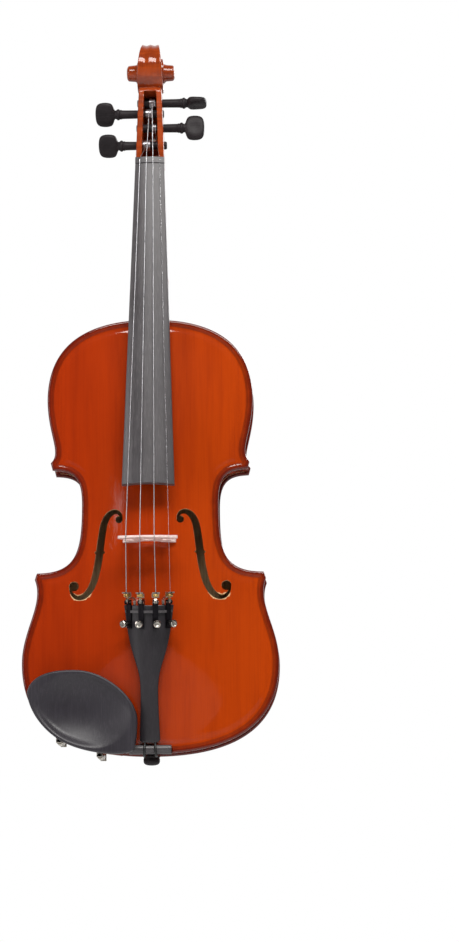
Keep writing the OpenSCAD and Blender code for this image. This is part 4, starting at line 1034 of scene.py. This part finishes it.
# Where each string leaves its peg, the radius of its turns there, and the ball in its lever
WIND_X, WIND_R = (-3.2, -1.4, 1.2, 3.2), (4.7, 4.6, 4.5, 4.1)
BALL_Y, BALL_Z, BALL_R = 22.65, 4.0, 1.5
for i, name in enumerate(STRINGS):
    r = STRING_R[i]
    nut_x, bridge_x = NUT_SPREAD * STRING_T[i], BRIDGE_SPREAD * STRING_T[i]
    wound = neck_place([WIND_X[i], PEG_S[i] - 1.5, PEG_H + WIND_R[i] + r * 0.6])
    at_nut = neck_place([nut_x, NUT_Y - 1.6, nut_height(nut_x)])
    at_nut_low = neck_place([nut_x, NECK_L + 0.6, nut_height(nut_x) - 0.05])
    at_bridge = np.array([bridge_x, BRIDGE_Y + 0.8, bridge_z(bridge_x) + 0.05])
    ball = tuner_place(i, [0, BALL_Y, BALL_Z])
    towards = (at_bridge - ball) / np.linalg.norm(at_bridge - ball)
    end = ball + (BALL_R + 0.05) * towards
    path = [wound, wound + (at_nut - wound) * 0.6, at_nut + (wound - at_nut) * 0.02, at_nut, at_nut_low,
            at_nut_low + (at_bridge - at_nut_low) * 0.5,
            at_bridge + (at_nut_low - at_bridge) * 0.002, at_bridge,
            at_bridge + (end - at_bridge) * 0.012]
    path += [at_bridge + (end - at_bridge) * t for t in (0.2, 0.4, 0.6, 0.75, 0.85, 0.93, 1.0)]
    shape = Shape()
    shape.tube(path, r, 14)
    slot = "plain_steel" if name == "e" else "wound_string"
    mesh = shape.mesh(f"string_{name}_wire", 60)
    mesh.materials.append(M[slot])
    made = placed(f"string_{name}_wire", mesh)
    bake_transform(made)
    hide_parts(f"string_{name}")

    # The turns of string round the peg
    shape = Shape()
    turns, steps, core = 6, 28, WIND_R[i] - r * 0.9
    pitch = 2.06 * r
    low = WIND_X[i] - turns * pitch / 2
    coil = []
    centre = neck_place([0, PEG_S[i], PEG_H])
    up = neck_place([0, PEG_S[i], PEG_H + 1]) - centre
    along = neck_place([0, PEG_S[i] + 1, PEG_H]) - centre
    for k in range(turns * steps + 1):
        a = 2 * math.pi * k / steps
        coil.append(centre + np.array([low + pitch * k / steps, 0, 0])
                    + core * (math.cos(a) * up - math.sin(a) * along))
    shape.tube(coil, r, 10)
    shape.turned([(low - 0.3, PEG_R), (low - 0.3, core - r * 0.3),
                  (low + turns * pitch + 0.3, core - r * 0.3),
                  (low + turns * pitch + 0.3, PEG_R)], centre, (1, 0, 0), (0, 0, 1), 28)
    add_piece(f"winding_{name}_wire", shape.mesh(f"winding_{name}", 60), slot, f"peg_{name}",
              (f"winding_{name}",))

# ---- Pegs -------------------------------------------------------------------------------------

# For each peg, the side of its head, where the head starts, how it is turned, and its far end
PEG_SIDE, PEG_HEAD_X = (-1, -1, 1, 1), (25.6, 28.6, 28.8, 27.0)
PEG_TURN, PEG_TIP = (50, 45, 92, 0), (13.6, 11.0, 11.4, 12.0)
# Distance out from the head's start, and the head's half breadth and half depth there
HEAD = ((1.2, 3.3, 3.3), (2.0, 4.6, 3.5), (2.7, 6.9, 3.75), (3.6, 8.8, 4.0), (4.8, 9.9, 4.15),
        (6.6, 10.5, 4.1), (9.0, 10.8, 3.9), (11.6, 10.7, 3.75), (14.0, 10.2, 3.6),
        (15.7, 9.2, 3.35), (16.8, 7.6, 2.9), (17.45, 5.4, 2.2), (17.75, 2.6, 1.3))
for i, name in enumerate(STRINGS):
    x0, tip = PEG_HEAD_X[i], PEG_TIP[i]
    shape = Shape()
    shape.turned([(-tip, 0.01), (-tip, 2.4), (-tip + 0.35, 3.0), (-tip + 1.0, 3.3), (-5, 3.4),
                  (8, 3.45), (13, 3.5), (x0 - 7, 3.6), (x0 - 4.4, 3.7), (x0 - 3.9, 4.0),
                  (x0 - 3.4, 4.1), (x0 - 3.0, 3.85), (x0 - 2.7, 3.8), (x0 - 2.3, 4.4),
                  (x0 - 1.7, 4.65), (x0 - 1.0, 4.7), (x0 - 0.4, 4.5), (x0 + 0.1, 3.9),
                  (x0 + 0.9, 3.6), (x0 + 2.4, 3.4), (x0 + 3.5, 3.2), (x0 + 3.5, 0.01)],
                 (0, 0, 0), (1, 0, 0), (0, 0, 1), 40)
    rings = []
    for x, broad, deep in HEAD:
        ring = []
        for a in around(56):
            c, s = math.cos(a), math.sin(a)
            y = broad * math.copysign(abs(c) ** 0.85, c)
            z = deep * math.copysign(abs(s) ** 0.8, s)
            hollow = math.exp(-(((x - 10.2) / 4.6) ** 2)) * math.exp(-((y / 6.2) ** 2))
            ring.append((x0 + x, y, z * (1 - 0.34 * hollow)))
        rings.append(ring)
    shape.loft(rings)
    angle = math.radians(PEG_TURN[i])
    side = PEG_SIDE[i]

    def peg_place(p, i=i, angle=angle, side=side):
        y = p[:, 1] * math.cos(angle) - p[:, 2] * math.sin(angle)
        z = p[:, 1] * math.sin(angle) + p[:, 2] * math.cos(angle)
        return row(neck_place(np.stack([side * p[:, 0], y + PEG_S[i], z + PEG_H], -1)))

    add_piece(f"peg_{name}_wood", shape.mesh(f"peg_{name}", 50, peg_place), "black_pegs",
              f"peg_{name}", (f"peg_{name}",))

# ---- Tailpiece, tailgut and end button -----------------------------------------------------------

tail_line = chain(bezier((5.4, 0), (6.6, 0.1), (7.9, 0.8), (8.2, 2.4), 6),
                  bezier((8.2, 2.4), (7.6, 22), (6.6, 34), (7.4, 48), 22),
                  bezier((7.4, 48), (8.6, 62), (13, 66), (17, 88), 26),
                  bezier((17, 88), (18, 95), (19.2, 104), (19.9, 109.2), 8),
                  bezier((19.9, 109.2), (20.0, 109.8), (19.6, 110), (19.0, 110), 3))
rings = []
for w, y in tail_line:
    r = TAIL_R_LOW + (TAIL_R_HIGH - TAIL_R_LOW) * y / TAIL_L
    end_drop = 0.7 * math.exp(-y / 1.0) + 0.5 * math.exp(-(TAIL_L - y) / 0.7)
    top = [(x, y, -r - end_drop + math.sqrt(r * r - x * x)) for x in np.linspace(-w + 0.7, w - 0.7, 33)]
    low_edge = top[-1][2]
    shell = float(np.interp(y, (0, 4, 106, 110), (3.6, 4.0, 3.6, 3.0)))
    sides = [(w - 0.2, y, low_edge - 0.35), (w, y, low_edge - 1.0), (w - 0.1, y, low_edge - 2.6),
             (w - 0.8, y, low_edge - 3.2)]
    under = [(x, y, min(-r - shell + math.sqrt(r * r - x * x), -shell * 0.8) - 0.1)
             for x in np.linspace(w - 1.6, -w + 1.6, 21)]
    rings.append(top + sides + under + [(-x, b, c) for x, b, c in sides[::-1]])
shape = Shape()
shape.loft(rings)
add_piece("tailpiece_wood", shape.mesh("tailpiece", 40, lambda p: row(tail_place(p))),
          "black_tailpiece", stands_for=("tailpiece",))


def rounded_path(points, steps=8):
    """A smooth line through the points."""
    p = [np.array(q, float) for q in points]
    p = [2 * p[0] - p[1]] + p + [2 * p[-1] - p[-2]]
    found = []
    for a, b, c, d in zip(p, p[1:], p[2:], p[3:]):
        for t in np.linspace(0, 1, steps, endpoint=False):
            found.append(0.5 * (2 * b + (c - a) * t + (2 * a - 5 * b + 4 * c - d) * t * t
                                + (3 * b - a - 3 * c + d) * t**3))
    return found + [p[-2]]


GUT_R, GUT_RING, GUT_Y, BUTTON_Z = 1.0, 5.0, 1.85, -15.5


def over_saddle(x, degrees):
    a = math.radians(degrees)
    return x, SADDLE_D / 2 + 6.0 * math.sin(a), 4.0 + 6.0 * math.cos(a)


shape = Shape()
for side in (-1, 1):
    shape.tube(rounded_path([
        (side * 4, 14.6, 7.9), over_saddle(side * 4.2, 38), over_saddle(side * 4.4, 0),
        over_saddle(side * 4.6, -40), (side * 4.8, -1.5, 6.4), (side * 4.9, -1.4, 0.5),
        (side * 5.0, GUT_Y - 0.1, -9.5), (side * 4.8, GUT_Y, BUTTON_Z)]), GUT_R, 12)
ring = [(GUT_RING * math.cos(a), GUT_Y, BUTTON_Z + GUT_RING * math.sin(a))
        for a in around(40)]
shape.tube(ring, GUT_R, 12, closed=True)
add_piece("tailgut_cord", shape.mesh("tailgut", 60), "black_nylon", stands_for=("tailgut",))
shape = Shape()
shape.turned([(-13.4, 0.01), (-13.4, 3.6), (-12.9, 3.85), (0.6, 3.85), (0.6, 5.3), (0.2, 5.9),
              (-0.0, 6.3), (0.5, 6.65), (1.4, 6.7), (1.9, 6.35), (2.3, 6.35), (2.8, 6.7), (5.0, 6.65),
              (6.4, 6.1), (7.3, 5.0), (7.8, 3.4), (8.0, 1.6), (8.0, 0.9), (7.75, 0.5), (7.75, 0.01)],
             (0, 0, BUTTON_Z), (0, -1, 0), (1, 0, 0), 48)
add_piece("end_button_wood", shape.mesh("end_button", 50), "black_pegs", stands_for=("end_button",))

# ---- Fine tuners ------------------------------------------------------------------------------

KNOB_Z, KNOB_R = 5.9, 3.0
# Height, radius as a share of the knob's, and how deep the knurls are there
KNOB = ((0.0, 0.80, 0), (0.05, 0.93, 0), (0.25, 0.985, 0.5), (0.6, 1.0, 1), (2.9, 1.0, 1),
        (3.2, 0.985, 0.5), (3.45, 0.93, 0), (3.58, 0.84, 0), (3.6, 0.55, 0), (3.42, 0.45, 0),
        (3.40, 0.05, 0))
KNURL = 0.045
for i, name in enumerate(STRINGS):
    shape = Shape()
    shape.turned([(-5.6, 0.01), (-5.6, 0.9), (-5.2, 1.2), (KNOB_Z + 0.5, 1.2), (KNOB_Z + 0.5, 0.01)],
                 (0, 0, 0), (0, 0, 1), (1, 0, 0), 24)
    rings = []
    for t, scale, deep in KNOB:
        radii = [KNOB_R * scale * (1 - KNURL * deep * (k % 2)) for k in range(72)]
        rings.append([(r * math.cos(a), r * math.sin(a), KNOB_Z + t)
                      for r, a in zip(radii, around(72))])
    shape.loft(rings)
    add_piece(f"tuner_screw_{name}_metal", shape.mesh(f"screw_{name}", 25,
              lambda p, i=i: row(tuner_place(i, p))), "nickel", f"tuner_screw_{name}",
              (f"tuner_screw_{name}",))
    shape = Shape()
    shape.turned([(-2.1, 0.5), (-2.1, 1.2), (-1.85, 1.45), (-1.3, 1.5), (-1.0, 1.2), (1.0, 1.2),
                  (1.3, 1.5), (1.85, 1.45), (2.1, 1.2), (2.1, 0.5)],
                 (0, BALL_Y, BALL_Z), (1, 0, 0), (0, 0, 1), 28)
    add_piece(f"string_ball_{name}_brass", shape.mesh(f"ball_{name}", 40,
              lambda p, i=i: row(tuner_place(i, p))), "brass_ball", f"tuner_lever_{name}",
              (f"string_ball_{name}",))

# ---- Chinrest -----------------------------------------------------------------------------------

cup_loop = chain(bezier((-98, 49), (-94, 66), (-72, 67), (-58, 66.5), 26),
                 bezier((-58, 66.5), (-38, 66), (-12, 48), (-9.6, 28), 36),
                 bezier((-9.6, 28), (-9.4, 18), (-10.5, 6), (-13, 2), 16),
                 bezier((-13, 2), (-20, -3.4), (-58, -0.5), (-76, 13.5), 40),
                 bezier((-76, 13.5), (-90, 24), (-97, 38), (-98, 49), 24))[:-1][::-1]
CUP_LOW, CUP_H, DISH = 11.0, 11.5, 8.0


def cup_top(x, y, d):
    rho = ((x + 54) / 41.5) ** 2 + ((y - 33.5) / 32.5) ** 2
    bowl = DISH * (1 - np.clip(rho, 0, 1)) ** 1.15
    return CUP_LOW + CUP_H - bowl * ease((d - 1.0) / 6) - rounding(d, 1.6)


def cup_under(d):
    return CUP_LOW + rounding(d, 5.5) * 0.75


rings = (0.2, 0.5, 0.9, 1.4, 2.0, 2.8, 3.7, 4.8)
points = field_of_points(cup_loop, rings, 1.8, [])
flat, triangles = triangulated([cup_loop], points)
triangles = triangles[inside(flat[triangles].mean(1), cup_loop)]
d = distance_to(flat, cup_loop)
triangles, rim = facing_up(flat, triangles)
shape = Shape()
shape.add(np.concatenate([np.column_stack([flat, cup_top(flat[:, 0], flat[:, 1], d)]),
                          np.column_stack([flat, cup_under(d)])]),
          two_faced(triangles, rim, len(flat)))
bass_edge = mirrored(lower_end)
strip_out = bass_edge[(bass_edge[:, 0] < -14) & (bass_edge[:, 0] > -83.5)]
strip_in = offset(bass_edge, -7.0)
strip_in = strip_in[(strip_in[:, 0] < -14) & (strip_in[:, 0] > -80)]
picked = strip_in[np.linspace(0, len(strip_in) - 1, len(strip_out)).astype(int)]
shape.loft([[(o[0], o[1] + 0.3, 5.15), (o[0], o[1] + 0.3, 12.4), (i[0], i[1], 12.4), (i[0], i[1], 5.15)]
            for o, i in zip(strip_out, picked)])
add_piece("chinrest_wood", shape.mesh("chinrest", 50), "black_chinrest",
          stands_for=("chinrest_cup",))

BARRELS = ("outer", "inner")


def barrel_place(key):
    """A clamp barrel's centre across and along, its two ends and its radius."""
    low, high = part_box(f"clamp_barrel_{key}")
    return ((low.x + high.x) / 2 / MM, ((low.z + high.z) / 2 - FOOT_Z) / MM,
            (JOINT_Y - high.y) / MM, (JOINT_Y - low.y) / MM, (high.x - low.x) / 2 / MM)


shape = Shape()
for key in BARRELS:
    x, y = barrel_place(key)[:2]
    shape.turned([(-9.0, 0.01), (-9.0, 1.1), (-8.6, 1.5), (8.1, 1.5), (8.1, 0.01)], (x, y, 0),
                 (0, 0, 1), (1, 0, 0), 24)
    shape.loft([[(x - 2.4, y - 1.6, z), (x + 2.4, y - 1.6, z), (x + 2.4, y + 10, z),
                 (x - 2.4, y + 10, z)] for z in (6.1, 8.1)])
made = add_piece("chinrest_studs", shape.mesh("studs", 40), "nickel")
bevelled(made, 0.3)
for key in BARRELS:
    x, y, bottom, top, r = barrel_place(key)
    middle = (bottom + top) / 2
    profile = [(bottom, 1.56), (bottom, r - 0.5), (bottom + 0.15, r - 0.2), (bottom + 0.5, r),
               (bottom + 2.0, r), (bottom + 2.2, r - 0.25), (bottom + 2.6, r - 0.25),
               (bottom + 2.8, r), (middle - 1.9, r), (middle - 1.7, r - 0.3), (middle + 1.7, r - 0.3),
               (middle + 1.9, r), (top - 2.8, r), (top - 2.6, r - 0.25), (top - 2.2, r - 0.25),
               (top - 2.0, r), (top - 0.5, r), (top - 0.15, r - 0.2), (top, r - 0.5), (top, 1.56)]
    shape = Shape()
    shape.loft([[(x + q * math.cos(a), y + q * math.sin(a), z) for a in around(36)]
                for z, q in profile], closed=True)
    made = add_piece(f"clamp_barrel_{key}_metal", shape.mesh(f"barrel_{key}", 40), "nickel",
                     f"clamp_barrel_{key}", (f"clamp_barrel_{key}",))
    key_hole = Shape()
    key_hole.turned([(-4, 0.9), (4, 0.9)], (x, y, middle), (1, 0, 0), (0, 0, 1), 20)
    cut_away(made, key_hole, "EXACT", "nickel", 35)

# ---- Carried-over nodes -------------------------------------------------------------------------

kept = {
    "upper_block": ("bare_spruce", 0.4), "lower_block": ("bare_spruce", 0.4),
    "corner_blocks": ("bare_willow", 0.3), "top_linings": ("bare_willow", 0.3),
    "back_linings": ("bare_willow", 0.3), "bass_bar": ("bare_spruce", 0.5),
    "sound_post": ("bare_spruce", 0.25), "nut": ("ebony", 0.3), "saddle": ("ebony", 0.4),
    "tailpiece_fret": ("ebony", 0.3), "chinrest_cork": ("cork", 0.2), "bracket_cork": ("cork", 0.2),
    "clamp_bracket": ("nickel", 0.25),
}
for name in STRINGS:
    kept[f"tuner_bracket_{name}"] = ("black_steel", 0.15)
    kept[f"tuner_lever_{name}"] = ("nickel", 0.15)
for name, (slot, width) in kept.items():
    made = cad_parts[name]
    dressed(made, slot)
    bevelled(made, width, 35)

# ---- Camera, light and floor ---------------------------------------------------------------------

# The camera looks up at the hanging violin from the front, a little to its right
scene = bpy.context.scene
camera_data = bpy.data.cameras.new("camera")
camera_data.lens = 118.8
camera_data.sensor_width = 36.0
camera_data.clip_start, camera_data.clip_end = 0.05, 60.0
camera = placed("camera", camera_data)
right = Vector((0.999445, 0.032867, -0.005382))
up = Vector((0.010452, -0.156099, 0.987686))
back = right.cross(up).normalized()
camera.matrix_world = Matrix.Translation((0.14475, -2.519, -0.72909)) @ Matrix(
    (right, back.cross(right), back)).transposed().to_4x4()
scene.camera = camera

FLOOR_Z = -1.35
floor_mesh = bpy.data.meshes.new("floor")
bm = bmesh.new()
bmesh.ops.create_grid(bm, x_segments=8, y_segments=8, size=20)
bm.to_mesh(floor_mesh)
bm.free()
floor = placed("floor", floor_mesh)
floor.location = (0, 0, FLOOR_Z)
material, tree, shader = new_material("floor")
cloud = stretched_noise(tree, (0.8, 0.8, 0.8), 2.0)
tree.links.new(mixed(tree, cloud, (0.80, 0.80, 0.80, 1), (0.84, 0.84, 0.84, 1)),
               shader.inputs["Base Color"])
shader.inputs["Roughness"].default_value = 0.8
floor_mesh.materials.append(material)
floor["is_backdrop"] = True

world = bpy.data.worlds.new("studio")
world.use_nodes = True
scene.world = world
tree = world.node_tree
place = node(tree, "ShaderNodeTexCoord")
parts = node(tree, "ShaderNodeSeparateXYZ", {0: place.outputs["Generated"]})
behind = spread(tree, parts.outputs[1], 0.10, 0.70)
tree.links.new(mixed(tree, behind, (0.035, 0.035, 0.036, 1), (1.0, 1.0, 1.0, 1)),
               tree.nodes["Background"].inputs["Color"])

# The lights aim at the middle of the violin
AIM = Vector((0, -0.03, -0.28))


def area_light(name, place, size_x, size_y, power, colour=(1, 1, 1)):
    data = bpy.data.lights.new(name, "AREA")
    data.shape = "RECTANGLE"
    data.size, data.size_y = size_x, size_y
    data.energy = power
    data.color = colour
    made = placed(name, data)
    made.location = place
    made.rotation_mode = "QUATERNION"
    made.rotation_quaternion = (Vector(place) - AIM).to_track_quat("Z", "Y")


area_light("key", (0.45, -1.65, 1.30), 2.2, 0.7, 68, (1.0, 0.985, 0.96))
area_light("left_strip", (-1.45, -1.05, -0.10), 0.55, 1.05, 9, (1.0, 0.97, 0.97))
area_light("rim", (1.3, 1.6, 0.7), 0.9, 0.9, 22)
scene.view_settings.view_transform = "Standard"

low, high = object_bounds()
